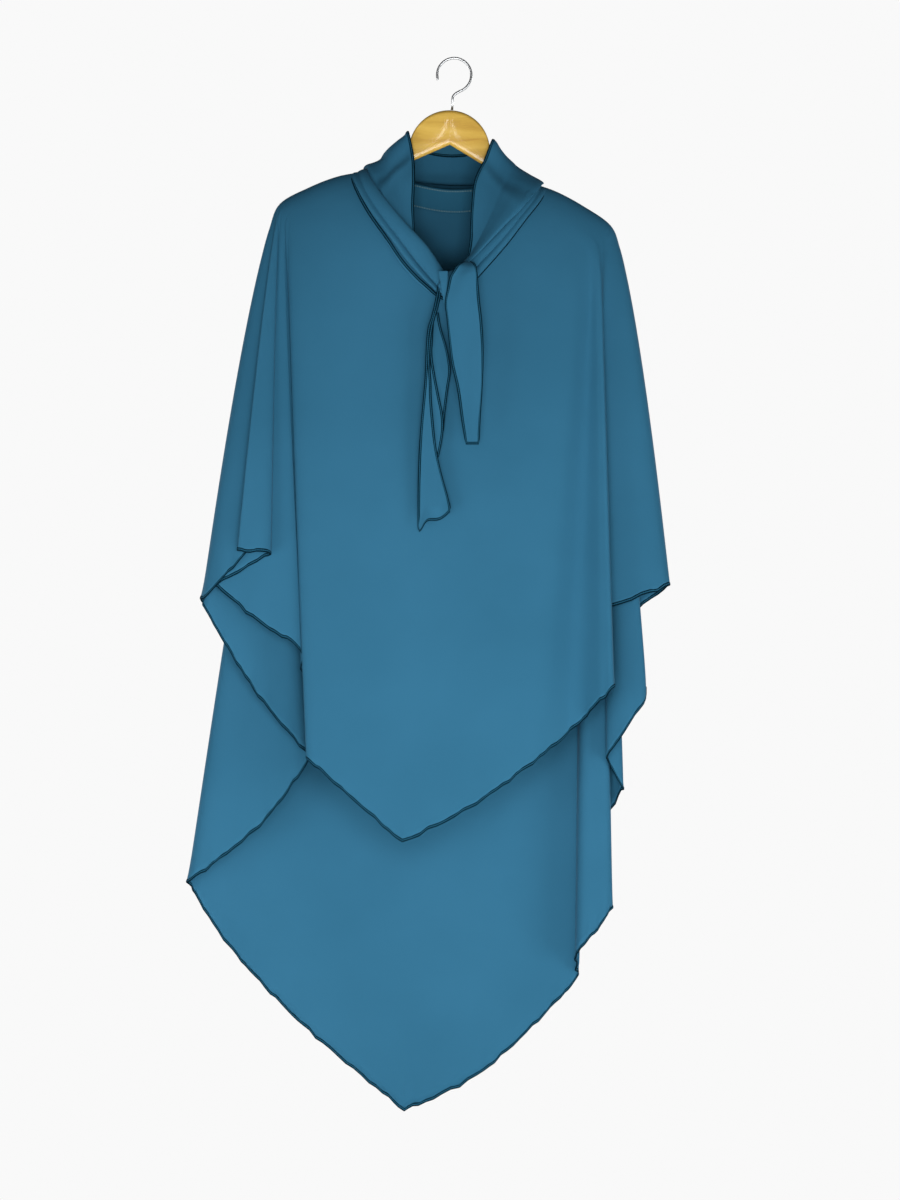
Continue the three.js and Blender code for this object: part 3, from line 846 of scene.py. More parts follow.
@dataclass
class Cape(Part):
    """The body of the veil: front panel, back panel and the folds between them."""

    across: float = -11.0
    side_length: float = 501.0
    front_length: float = 832.0
    back_length: float = 1193.0
    side_reach: float = 345.0
    hem_depth: float = 80.0
    fold_roll: float = 40.0
    wall: float = 1.1
    column_step: float = 10.5
    row_steps: int = 7
    folds_forward: float = 0.6
    near_fold: float = 70.0
    calm_spans: Pair = (120.0, 320.0)
    samples: int = 33
    least_columns: int = 8
    even_passes: int = 3
    even_rows: int = 7
    even_share: float = 0.6
    hem_reach: float = 16.0
    hem_share: float = 1.3
    left_rise: float = 12.0
    right_rise: float = 11.0
    flat: Pair = (1.56, 2.08)
    flat_area: float = 1.34

    def folds(self) -> tuple[list[Fold], Array, Array]:
        """All folds in one ring.

        Returns:
            The folds, their points on the hem and the way that the hem runs there.
        """
        right = [
            (replace(f, girth=1 - f.girth, roll=None if f.roll is None else -f.roll), length)
            for rows, length in ((RIGHT_FRONT, self.front_length), (RIGHT_BACK, self.back_length))
            for f in rows
        ]
        left = [(f, self.front_length) for f in LEFT_FRONT] + [(f, self.back_length) for f in LEFT_BACK]
        ring = left + right[::-1]
        hem = np.array([
            [
                self.across + f.across * self.side_reach,
                f.depth * self.hem_depth,
                -self.shoulders.below_hook - mix(self.side_length, longest, f.fall),
            ]
            for f, longest in ring
        ])
        runs = (np.roll(hem, -1, axis=0) - np.roll(hem, 1, axis=0)) / 2
        slope = np.array([
            run if f.roll is None else [0.0, f.roll * self.fold_roll, 0.0] for (f, _), run in zip(ring, runs)
        ])
        return [f for f, _ in ring], hem, slope

    def lines(self) -> tuple[Array, Array, Array, Array]:
        """Where each line of the cape starts and ends.

        Returns:
            The lines' girths, hem points, flares, and how far each is from a turned fold, from 0 to 1.
        """
        folds, hem, slope = self.folds()
        girths, ends, flares, calm = [], [], [], []
        for k, fold in enumerate(folds):
            n = (k + 1) % len(folds)
            after = folds[n].girth if folds[n].girth > fold.girth else folds[n].girth + 1
            rough = hermite(hem[k], slope[k], hem[n], slope[n], np.linspace(0, 1, self.samples)[:, None])
            length = np.linalg.norm(np.diff(rough, axis=0), axis=1).sum()
            count = max(self.least_columns, math.ceil(length / self.column_step))
            t = np.arange(count) / count
            girths.append(mix(fold.girth, after, t) % 1.0)
            ends.append(hermite(hem[k], slope[k], hem[n], slope[n], t[:, None]))
            flares.append(mix(fold.flare, folds[n].flare, t))
            near_start = smooth(0, self.near_fold, t * length) if fold.roll else np.ones(count)
            near_end = smooth(0, self.near_fold, (1 - t) * length) if folds[n].roll else np.ones(count)
            wide = smooth(*self.calm_spans, length)
            calm.append(near_start * near_end * wide)
        return tuple(np.concatenate(part) for part in (girths, ends, flares, calm))

    def grid(self) -> tuple[Array, Array]:
        """The cloth's middle surface.

        Returns:
            Columns, rows and coordinates, and how freely each column may ripple.
        """
        girth, hem, flare, calm = self.lines()
        neck = self.shoulders.loop(girth, self.shoulders.neck)
        yoke = self.shoulders.loop(girth, self.shoulders.yoke)
        rows = [neck + (yoke - neck) * t for t in YOKE_ROWS]
        for t in FALL_ROWS:
            x = mix(yoke[:, 0], hem[:, 0], t ** flare)
            y = mix(yoke[:, 1], hem[:, 1], t ** self.folds_forward)
            z = mix(yoke[:, 2], hem[:, 2], t)
            rows.append(np.stack([x, y, z], axis=-1))
        coarse = np.stack(rows, axis=1)
        sideways = np.sin(TURN * girth)
        rise = np.where(sideways > 0, self.left_rise, self.right_rise)
        for j, share in enumerate(SHOULDER_RISE):
            coarse[:, j, 2] += share * rise * sideways ** 4
        slack = (np.abs(np.cos(TURN * girth)) ** 1.5)[:, None]
        for _ in range(self.even_passes):
            for j in range(1, self.even_rows):
                between = (coarse[:, j - 1] + coarse[:, j + 1]) / 2
                coarse[:, j] += (between - coarse[:, j]) * self.even_share * slack
        return refined(coarse, self.row_steps), calm

    def rippled(self, grid: Array, calm: Array) -> Array:
        """The cloth with its soft waves, and a slightly wavy hem.

        Args:
            grid: the plain middle surface.
            calm: how freely each column may ripple.

        Returns:
            The grid with its points moved.
        """
        hem = grid[:, -1]
        run = np.cumsum(np.linalg.norm(hem - np.roll(hem, 1, axis=0), axis=1))
        down = np.linalg.norm(np.diff(grid, axis=1), axis=2)
        to_hem = np.concatenate([np.cumsum(down[:, ::-1], axis=1)[:, ::-1], np.zeros((len(grid), 1))], axis=1)
        fallen = 1 - to_hem / to_hem[:, :1]
        turns = TURN * run / run[-1]
        wave = waved(SOFT_WAVES, turns) * calm[:, None] * fallen ** 1.6
        near = np.exp(-to_hem / self.hem_reach)
        quick = waved(HEM_WAVES, turns) * near * self.hem_share
        moved = grid + normals(grid, True) * (wave + quick)[..., None]
        moved[..., 2] += waved(HEM_SWAY, turns) * near
        return moved

    def make(self) -> Piece:
        """Builds the cape and its overlocked hem.

        Returns:
            The cape.
        """
        grid = self.rippled(*self.grid())
        sheet = cloth_object("veil_cape", grid, True, self.wall)
        cloth = placed(sheet, self.finishes.crepe, Slot.CLOTH, "cape")
        inward = unit(grid[:, -3] - grid[:, -1])
        out = normals(grid, True)[:, -1]
        hem = overlock_object("cape_hem", grid[:, -1], inward, out, Overlock(), True)
        placed(hem, self.finishes.thread, Slot.CLOTH)
        return cloth


# ---------------------------------------------------------------- hood and nape band


@dataclass(frozen=True)
class RimRow:
    """A place on the hood's rim, as shares of the hood's sizes."""

    girth: float
    across: float
    depth: float
    rise: float


RIM = [
    RimRow(*row) for row in (
        (0.0, 0.05, -0.95, 0.064), (0.035, -0.42, -0.93, 0.103), (0.07, -0.78, -0.87, 0.206),
        (0.12, -0.88, -0.7, 0.444), (0.17, -0.86, -0.5, 0.67), (0.22, -0.89, -0.28, 0.83),
        (0.25, -1.0, -0.1, 0.973), (0.28, -1.03, 0.24, 0.96), (0.36, -0.75, 0.72, 0.865),
        (0.5, 0.0, 1.0, 0.823), (0.64, 0.75, 0.72, 0.85), (0.72, 1.05, 0.24, 0.908),
        (0.75, 1.02, -0.1, 0.924), (0.78, 0.84, -0.28, 0.8), (0.83, 0.6, -0.5, 0.657),
        (0.88, 0.52, -0.7, 0.464), (0.93, 0.48, -0.87, 0.251), (0.965, 0.36, -0.93, 0.116),
    )
]


@dataclass(frozen=True)
class HoodRow:
    """A step of the hood's way from the neck seam to its rim, as shares of its sizes and of its spill."""

    along: float
    side: float
    back: float
    drop: float
    spill: float = 0.0
    over: float = 0.0


HOOD_WAY = [
    HoodRow(*row) for row in (
        (0.0, 0, 0, 0), (0.03, 0.05, 0.3, -0.04, 0.35, 0.9), (0.06, 0.1, 0.42, -0.05, 1.0, 1.0),
        (0.11, 0.35, 0.5, 0.12, 0.82, 1.25), (0.18, 0.6, 0.57, 0.4, 0.35, 0.95),
        (0.29, 0.9, 0.64, 0.78, 0.05, 0.35), (0.39, 1.0, 0.72, 0.98), (0.5, 0.85, 0.99, 0.9),
        (0.64, 0.4, 1.0, 0.56), (0.8, -0.3, 0.62, 0.12), (0.92, -0.4, 0.24, -0.16), (1.0, 0, 0, 0),
    )
]


@dataclass(frozen=True)
class SpillRow:
    """How far the hood spills down over the tie at a place round the neck, in millimetres."""

    girth: float
    down: float
    out: float


SPILL = [
    SpillRow(*row) for row in (
        (0.0, 0.0, 0.0), (0.1, 0.0, 0.0), (0.19, 0.0, 0.5), (0.25, 4.0, 3.0), (0.31, 1.0, 2.0),
        (0.4, 0.0, 0.0), (0.62, 0.0, 0.0), (0.7, 12.0, 4.5), (0.75, 23.0, 6.0), (0.79, 20.5, 8.5),
        (0.82, 16.7, 10.5), (0.85, 12.9, 10.5), (0.88, 8.7, 10.0), (0.92, 5.5, 9.0), (0.96, 4.0, 6.0),
    )
]


@dataclass(frozen=True)
class Crease:
    """A crease up the hood's side: its height in millimetres, its place, width and lean round the neck."""

    height: float
    girth: float
    width: float
    lean: float


CREASES = (
    Crease(2.2, 0.205, 0.012, -0.05), Crease(-1.6, 0.185, 0.012, -0.07),
    Crease(1.6, 0.80, 0.014, 0.05), Crease(-1.2, 0.825, 0.012, 0.07),
)


@dataclass
class Hood(Part):
    """The hood that has fallen open round the neck, with its overlocked rim."""

    across: float = -7.0
    half_width: float = 55.0
    rise: float = 207.0
    bulge: float = -0.5
    bulge_out: float = 0.6
    pouch_depth: float = 52.0
    pouch_drop: float = 150.0
    pouch_powers: Triple = (0.6, 1.7, 2.2)
    seam_lift: Pair = (4.4, 8.0)
    wall: float = 1.1
    columns: int = 200
    row_steps: int = 7
    slack_from: Pair = (0.1, 0.3)
    slack_to: Pair = (0.88, 1.0)
    slack_height: float = 0.7
    tier_counts: Pair = (2.2, 0.8)
    tier_height: float = 1.3
    flat: Pair = (0.46, 0.24)
    flat_area: float = 0.082

    def grid(self) -> Array:
        """The hood's middle surface from the seam to the rim.

        Returns:
            Columns, rows and coordinates.
        """
        girth = np.arange(self.columns) / self.columns
        angle = TURN * girth
        out = np.stack([-np.sin(angle), -np.cos(angle), np.zeros_like(angle)], axis=-1)
        side = np.sin(angle) ** 2
        behind = np.maximum(0, -np.cos(angle))
        neck = self.shoulders.neck
        depth = around(RIM, "depth", girth)
        lowest = self.shoulders.loop(np.array([0.0]), neck)[0, 2]
        rim = np.stack([
            self.across + around(RIM, "across", girth) * self.half_width,
            depth * np.where(depth < 0, neck.front_depth, neck.back_depth),
            lowest + around(RIM, "rise", girth) * self.rise,
        ], axis=-1)
        seam = self.shoulders.loop(girth, neck)
        seam[:, 2] += mix(*self.seam_lift, np.maximum(0, np.cos(angle)))
        _, surface, down = self.shoulders.seam_frame(girth)
        spill, over = (np.maximum(0, around(SPILL, column, girth))[:, None] for column in ("down", "out"))
        deepens, narrows, drops = self.pouch_powers
        rows = []
        for row in HOOD_WAY:
            bulge = row.side * side * self.bulge
            back = row.back * behind ** mix(deepens, narrows, row.along) * self.pouch_depth
            point = mix(seam, rim, row.along)
            point = point + out * (bulge * self.bulge_out + back)[:, None]
            point = point + down * spill * row.spill + surface * over * row.over
            point[:, 2] += bulge - row.drop * behind ** drops * self.pouch_drop
            rows.append(point)
        return refined(np.stack(rows, axis=1), self.row_steps)

    def creased(self, grid: Array) -> Array:
        """The hood with the soft tiers of its slack cloth at both sides.

        Args:
            grid: the plain middle surface.

        Returns:
            The grid with its points moved.
        """
        girth = (np.arange(len(grid)) / len(grid))[:, None]
        t = np.linspace(0, 1, grid.shape[1])[None]
        sides = np.sin(TURN * girth) ** 2
        free = smooth(*self.slack_from, t) * (1 - smooth(*self.slack_to, t))
        across, around_neck = self.tier_counts
        tiers = np.sin(TURN * (across * t + around_neck * girth)) * self.tier_height * sides * free
        folds = sum(c.height * bump(c.girth, c.width, girth + c.lean * (t - 0.5)) for c in CREASES) * free
        behind = np.maximum(0, -np.cos(TURN * girth))
        slack = self.slack_height * np.sin(TURN * (7 * girth + 1.4 * t)) * behind * free
        return grid + normals(grid, True) * (tiers + folds + slack)[..., None]

    def make(self) -> Piece:
        """Builds the hood and its rim.

        Returns:
            The hood.
        """
        grid = self.creased(self.grid())
        sheet = cloth_object("veil_hood", grid, True, self.wall)
        cloth = placed(sheet, self.finishes.crepe, Slot.CLOTH, "hood")
        inward, out = unit(grid[:, -3] - grid[:, -1]), normals(grid, True)[:, -1]
        rim = overlock_object("hood_rim", grid[:, -1], inward, out, Overlock(width=4.4), True)
        placed(rim, self.finishes.thread, Slot.CLOTH)
        return cloth


@dataclass
class NapeBand(Part):
    """The band sewn inside the nape, with a row of stitches at each edge."""

    height: float = 32.0
    share: float = 0.17
    under_seam: float = 0.66
    inward: float = 2.3
    wall: float = 1.0
    columns: int = 72
    rows: int = 18
    stitches: Overlock = Overlock(width=2.0, height=0.9, proud=0.4, sides=8)

    def grid(self) -> Array:
        """The band's middle surface, slightly puckered at its lower edge.

        Returns:
            Columns, rows and coordinates.
        """
        t = np.linspace(0, 1, self.columns)
        girth = 0.5 + (t - 0.5) * self.share
        under = np.array([0.0, -self.inward, -self.height * self.under_seam])
        low = self.shoulders.loop(girth, self.shoulders.neck) + under
        up = np.linspace(0, 1, self.rows)[None, :, None]
        grid = low[:, None] + np.array([0.0, 0.0, self.height]) * up
        pucker = np.sin(TURN * t * 13 + 0.8 * np.sin(TURN * t * 3))[:, None] * np.exp(-up[..., 0] / 0.16)
        grid[..., 1] -= 0.5 + 0.5 * pucker
        return grid

    def make(self) -> Piece:
        """Builds the band and its two seams.

        Returns:
            The band.
        """
        grid = self.grid()
        sheet = cloth_object("band_cloth", grid, False, self.wall)
        cloth = placed(sheet, self.finishes.band, Slot.BAND, "nape_band")
        up = np.tile(np.array([0.0, 0.0, 1.0]), (self.columns, 1))
        out = np.tile(np.array([0.0, -1.0, 0.0]), (self.columns, 1))
        for name, row, way in (("band_seam_low", 1, up), ("band_seam_high", -2, -up)):
            path = grid[:, row] + out * self.wall * 0.5
            seam = overlock_object(name, path, way, out, self.stitches, False)
            placed(seam, self.finishes.seam, Slot.BAND)
        return cloth


# ---------------------------------------------------------------- tie, knot and tails


SIDE_ROLLS = [
    (-0.40, -0.36), (-0.50, -0.18), (-0.52, 0.08), (-0.48, 0.3), (-0.38, 0.45), (-0.24, 0.52),
    (-0.08, 0.5), (0.06, 0.46), (0.18, 0.47), (0.29, 0.48), (0.38, 0.44), (0.46, 0.34),
    (0.52, 0.16), (0.53, -0.06), (0.48, -0.26), (0.38, -0.38),
]
LEFT_ROLLS = [
    (-0.44, -0.36), (-0.52, -0.1), (-0.52, 0.3), (-0.42, 0.62), (-0.24, 0.74), (-0.06, 0.6),
    (0.05, 0.2), (0.07, -0.16), (0.13, 0.18), (0.21, 0.36), (0.27, 0.14), (0.29, -0.16),
    (0.35, 0.12), (0.45, 0.28), (0.53, 0.02), (0.40, -0.38),
]
RIGHT_ROLLS = [
    (-0.40, -0.36), (-0.50, -0.22), (-0.52, 0.0), (-0.44, 0.26), (-0.3, 0.4), (-0.14, 0.42),
    (-0.02, 0.3), (0.04, 0.1), (0.1, 0.26), (0.2, 0.42), (0.31, 0.44), (0.41, 0.36),
    (0.48, 0.2), (0.52, 0.0), (0.47, -0.22), (0.36, -0.36),
]


@dataclass(frozen=True)
class TieRow:
    """Where the tie lies at a place round the neck: its edges below the seam, in millimetres."""

    girth: float
    inner: float
    outer: float


TIE_WAY = [
    TieRow(*row) for row in (
        (0.0, -4.0, 23.5), (0.03, -9.5, 27.0), (0.06, -12.5, 27.5), (0.1, -10.0, 23.4),
        (0.15, -6.5, 22.5), (0.2, -2.6, 21.4), (0.25, 0.0, 21.6), (0.32, 3.0, 27.0), (0.5, 5.0, 31.0),
        (0.68, 4.0, 29.0), (0.75, 8.0, 26.5), (0.8, 7.0, 22.6), (0.85, 3.0, 18.7), (0.9, 0.5, 19.2),
        (0.94, -1.0, 20.1), (0.97, -2.0, 21.6),
    )
]


@dataclass
class NeckTie(Part):
    """The tie round the neck: a strip of cloth gathered into rolls, whole behind under the hood."""

    thickness: float = 8.0
    clear: float = 4.6
    left_clear: float = 1.2
    wall: float = 1.0
    roll_reach: Pair = (0.19, 0.17)
    thin_share: float = 0.72
    least_roll: float = 0.3
    # where across the tie the dark roll of painted shadow lies
    shadow_line_place: float = 0.85
    stations: int = 300
    section_steps: int = 4

    def grid(self) -> Array:
        """The strip's middle surface.

        Returns:
            Stations round the neck, points across the strip, and coordinates.
        """
        girth = np.arange(self.stations) / self.stations
        seam, out, down = self.shoulders.seam_frame(girth)
        inner, outer = around(TIE_WAY, "inner", girth), around(TIE_WAY, "outer", girth)
        turned = np.sin(TURN * girth)
        left = smooth(-0.08, 0.08, turned) * np.where(np.cos(TURN * girth) > 0, 1.0, 0.0)
        near_knot = bump(0.0, self.roll_reach[0], np.minimum(girth, 1 - girth))
        near_right = bump(0.0, self.roll_reach[1], 1 - girth) * (1 - left)
        rolls = mix(np.array(SIDE_ROLLS)[None], np.array(RIGHT_ROLLS)[None], near_right[:, None, None])
        rolls = mix(rolls, np.array(LEFT_ROLLS)[None], (near_knot * left)[:, None, None])
        thick = self.thickness * mix(self.thin_share, 1.0, np.maximum(near_knot, self.least_roll))
        lift = self.clear + self.left_clear * left
        centre = seam + down * ((inner + outer) / 2)[:, None] + out * lift[:, None]
        point = (
            centre[:, None]
            + down[:, None] * (rolls[..., 0] * (outer - inner)[:, None])[..., None]
            + out[:, None] * (rolls[..., 1] * thick[:, None])[..., None]
        )
        return refined(point, self.section_steps)

    def make(self) -> Piece:
        """Builds the tie, and a dark overlocked roll along its lower side that paints the shadow under its
        edge.

        Returns:
            The tie.
        """
        grid = self.grid()
        strip = cloth_object("tie_strip", grid, True, self.wall)
        cloth = placed(strip, self.finishes.crepe, Slot.CLOTH, "neck_tie")
        # A dark overlock roll along the tie's lower side: painted shadow of the deep contour under the tie's
        # edge.
        path = grid[:, round(self.shadow_line_place * (grid.shape[1] - 1))]
        inward = unit(grid.mean(axis=1) - path)
        along = np.roll(path, -1, axis=0) - np.roll(path, 1, axis=0)
        out = unit(np.cross(along, inward))
        edge = overlock_object("tie_edge_painted_shadow", path, inward, out, Overlock(4.4, 2.4, 1.6), True)
        placed(edge, self.finishes.thread, Slot.CLOTH)
        return cloth


@dataclass
class Knot(Part):
    """The knot at the front: a wad of wrapped cloth with creases that run into it."""

    aside: float = 14.0
    sink: float = 0.08
    width: float = 53.0
    height: float = 44.0
    depth: float = 24.0
    before: float = 6.81
    turn: float = math.radians(-12)
    creases: tuple[tuple[float, float, float, int], ...] = ((0.07, 5.5, 2.5, 6), (0.05, 3.0, -6.0, 8))
    around: int = 72
    down: int = 48

    def centre(self) -> Array:
        """The knot's middle."""
        seam = self.shoulders.loop(np.array([0.0]), self.shoulders.neck)[0]
        return seam + np.array([self.aside, -(self.before + self.depth / 2), -self.height * self.sink])

    def make(self) -> Piece:
        """Builds the knot.

        Returns:
            The knot.
        """
        polar = np.linspace(0.03, np.pi - 0.03, self.down)[None]
        turns = np.linspace(0, TURN, self.around, endpoint=False)[:, None]
        x, y = np.sin(polar) * np.cos(turns), np.sin(polar) * np.sin(turns)
        z = np.cos(polar) * np.ones_like(turns)
        crease = 1.0
        for depth, across, up, power in self.creases:
            crease = crease - depth * np.cos(across * x + up * z) ** power
        half = np.array([self.width, self.depth, self.height]) / 2
        shape = np.stack([x, y, z], axis=-1) * half * crease[..., None]
        c, s = math.cos(self.turn), math.sin(self.turn)
        turned = shape @ np.array([[c, 0, -s], [0, 1, 0], [s, 0, c]])
        rings = (turned + self.centre()).transpose(1, 0, 2)
        knot = placed(swept_object("knot_wrap", rings, False), self.finishes.crepe, Slot.CLOTH, "knot")
        return knot


@dataclass(frozen=True)
class TailRow:
    """A row of a tail, in millimetres from the knot's middle: height, two edges and how far it stands out."""

    height: float
    left: float
    right: float
    out: float


SHORT_TAIL = [
    TailRow(*row) for row in (
        (30.5, 6.7, 18.7, -13.0), (28.5, 3.0, 22.0, -8.0), (24.5, -2.0, 24.0, -3.5),
        (18.0, -6.5, 24.9, -1.0), (10.0, -11.0, 26.0, 0.0), (-4.0, -13.6, 27.1, 0.3),
        (-23.0, -17.0, 28.9, 0.0), (-45.0, -14.6, 31.4, -1.0), (-72.0, -12.0, 33.2, -2.0),
        (-104.0, -8.4, 33.4, -2.5), (-138.0, -1.0, 32.0, -2.0), (-177.0, 4.4, 29.6, -1.0),
        (-211.0, 10.0, 28.2, 0.5),
    )
]
LONG_TAIL_FRONT = [
    TailRow(*row) for row in (
        (-3.0, -27.0, -21.5, -3.0), (-14.0, -29.0, -23.0, -1.0), (-28.0, -31.8, -26.0, 0.0),
        (-43.0, -35.5, -30.5, 0.0), (-58.0, -40.0, -34.0, 0.0), (-79.0, -42.0, -36.6, -0.6),
        (-103.0, -43.0, -37.4, -1.6), (-126.0, -44.0, -35.8, -0.6), (-150.0, -46.0, -35.2, 0.0),
        (-178.0, -48.5, -33.0, 0.2), (-208.0, -50.8, -30.0, 0.0), (-236.0, -52.2, -26.0, -0.4),
        (-268.0, -53.0, -20.0, 0.0), (-298.0, -53.2, -13.6, 0.8), (-321.0, -53.2, -9.0, 1.2),
    )
]
LONG_TAIL_PLEAT = [
    TailRow(*row) for row in (
        (-50.0, -37.0, -32.4, -2.6), (-72.0, -38.6, -33.6, -2.8), (-93.0, -39.0, -34.4, -3.0),
        (-119.0, -39.4, -30.6, -3.0), (-148.0, -39.0, -25.0, -2.8), (-172.0, -38.0, -20.2, -2.8),
        (-192.0, -36.8, -19.6, -2.8), (-211.0, -34.6, -22.2, -2.8), (-228.0, -31.0, -25.8, -2.8),
    )
]
LONG_TAIL_BACK = [
    TailRow(*row) for row in (
        (-36.0, -34.0, -26.0, -5.2), (-56.0, -37.6, -22.6, -5.4), (-79.0, -38.6, -16.0, -5.6),
        (-97.0, -38.4, -12.0, -5.6), (-115.0, -37.6, -10.0, -5.4), (-139.0, -36.0, -13.3, -5.4),
        (-160.0, -33.0, -16.0, -5.4), (-178.0, -29.0, -18.0, -5.4), (-193.0, -23.0, -19.0, -5.4),
    )
]
KNOT_FOLD = [
    TailRow(*row) for row in (
        (18.5, -26.0, -13.5, -1.8), (12.0, -25.0, -13.5, -0.8), (0.0, -22.6, -14.2, 0.0),
        (-12.0, -20.6, -16.0, -0.4), (-24.0, -18.8, -17.4, -1.4),
    )
]


@dataclass
class Tails:
    """The two tails that hang from the knot, each overlocked round its free edges."""

    knot: Knot
    finishes: Finishes
    wall: float = 1.0
    columns: int = 25
    row_steps: int = 9
    stand_out: float = 3.4
    hem_slant: float = 20.0
    hem_wave: float = 3.0
    hem_curl: float = 2.5
    corner_dip: float = 8.0

    def grid(self, rows: list[TailRow], front: float, ripple: float) -> Array:
        """A tail's middle surface.

        Args:
            rows: the tail's rows from the top.
            front: how far the tail lies from the knot's middle.
            ripple: how much its cloth ripples.

        Returns:
            Columns, rows and coordinates.
        """
        c = self.knot.centre()
        share = np.linspace(0, 1, self.columns)
        columns = [
            [[c[0] + mix(row.left, row.right, u), c[1] + front - row.out, c[2] + row.height] for row in rows]
            for u in share
        ]
        grid = refined(np.array(columns), self.row_steps)
        u, t = share[:, None], np.linspace(0, 1, grid.shape[1])[None]
        wide = smooth(6, 40, np.linalg.norm(grid[-1] - grid[0], axis=1))[None]
        grid[..., 1] -= (ripple * np.sin(TURN * (1.1 * u + 1.7 * t)) - 3.0 * ripple * (u - 0.5) ** 2) * wide
        return grid

    def slanted(self, grid: Array) -> Array:
        """A tail with its hem slanting up to the right in a soft wave.

        Args:
            grid: the tail's middle surface.

        Returns:
            The grid with its points moved.
        """
        u = np.linspace(0, 1, len(grid))[:, None]
        t = np.linspace(0, 1, grid.shape[1])[None]
        wave, dip = self.hem_wave * np.sin(TURN * 1.1 * u), self.corner_dip * bump(0.08, 0.12, u)
        grid[..., 2] += smooth(0.72, 1.0, t) * (self.hem_slant * u + wave - dip)
        grid[..., 1] -= smooth(0.93, 1.0, t) * self.hem_curl * np.sin(TURN * 1.3 * u)
        return grid

    def hemmed(self, name: str, grid: Array) -> Piece:
        """An overlocked edge down one side, along the bottom and up the other side of a tail.

        Args:
            name: the edge's name.
            grid: the tail's middle surface.

        Returns:
            The edge.
        """
        out = normals(grid, False)
        left, right, low = grid[0], grid[-1], grid[:, -1]
        path = np.concatenate([left[:-2], low[1:-1], right[:-2][::-1]])
        across = unit(grid[-1] - grid[0])
        into = np.concatenate([across[:-2], unit(grid[1:-1, -4] - low[1:-1]), -across[:-2][::-1]])
        up = np.concatenate([out[0, :-2], out[1:-1, -1], out[-1, :-2][::-1]])
        for _ in range(4):
            into[1:-1] = unit(into[:-2] + into[1:-1] * 2 + into[2:])
        edge = overlock_object(name, path, into, up, Overlock(width=3.9, height=2.0, proud=0.5), False)
        return placed(edge, self.finishes.thread, Slot.CLOTH)

    def make(self) -> list[Piece]:
        """Builds both tails and the fold beside the knot.

        Returns:
            The pieces of cloth.
        """
        before = -self.knot.depth / 2
        near = before - self.stand_out
        far = self.knot.depth * 0.02
        long_front = self.slanted(self.grid(LONG_TAIL_FRONT, far, 0.7))
        pieces = (
            ("short_tail_cloth", "tail_short", self.grid(SHORT_TAIL, near, 0.9), (0.048, 0.245), 0.0098),
            ("long_tail_cloth", "tail_long", long_front, (0.03, 0.32), 0.0062),
            ("long_tail_pleat", "tail_long", self.grid(LONG_TAIL_PLEAT, far, 0.2), (0.02, 0.18), 0.0019),
            ("long_tail_lining", "tail_long", self.grid(LONG_TAIL_BACK, far, 0.3), (0.03, 0.16), 0.003),
        )
        made = []
        for name, node, grid, flat, area in pieces:
            cloth = placed(cloth_object(name, grid, False, self.wall), self.finishes.crepe, Slot.CLOTH, node)
            edge = self.hemmed(f"{name}_edge", grid)
            made.append(cloth)
        fold = self.grid(KNOT_FOLD, before - 0.6, 0.0)
        cloth = placed(cloth_object("knot_fold", fold, False, self.wall), self.finishes.crepe, Slot.CLOTH)
        made.append(cloth)
        return made


# ---------------------------------------------------------------- the hanger


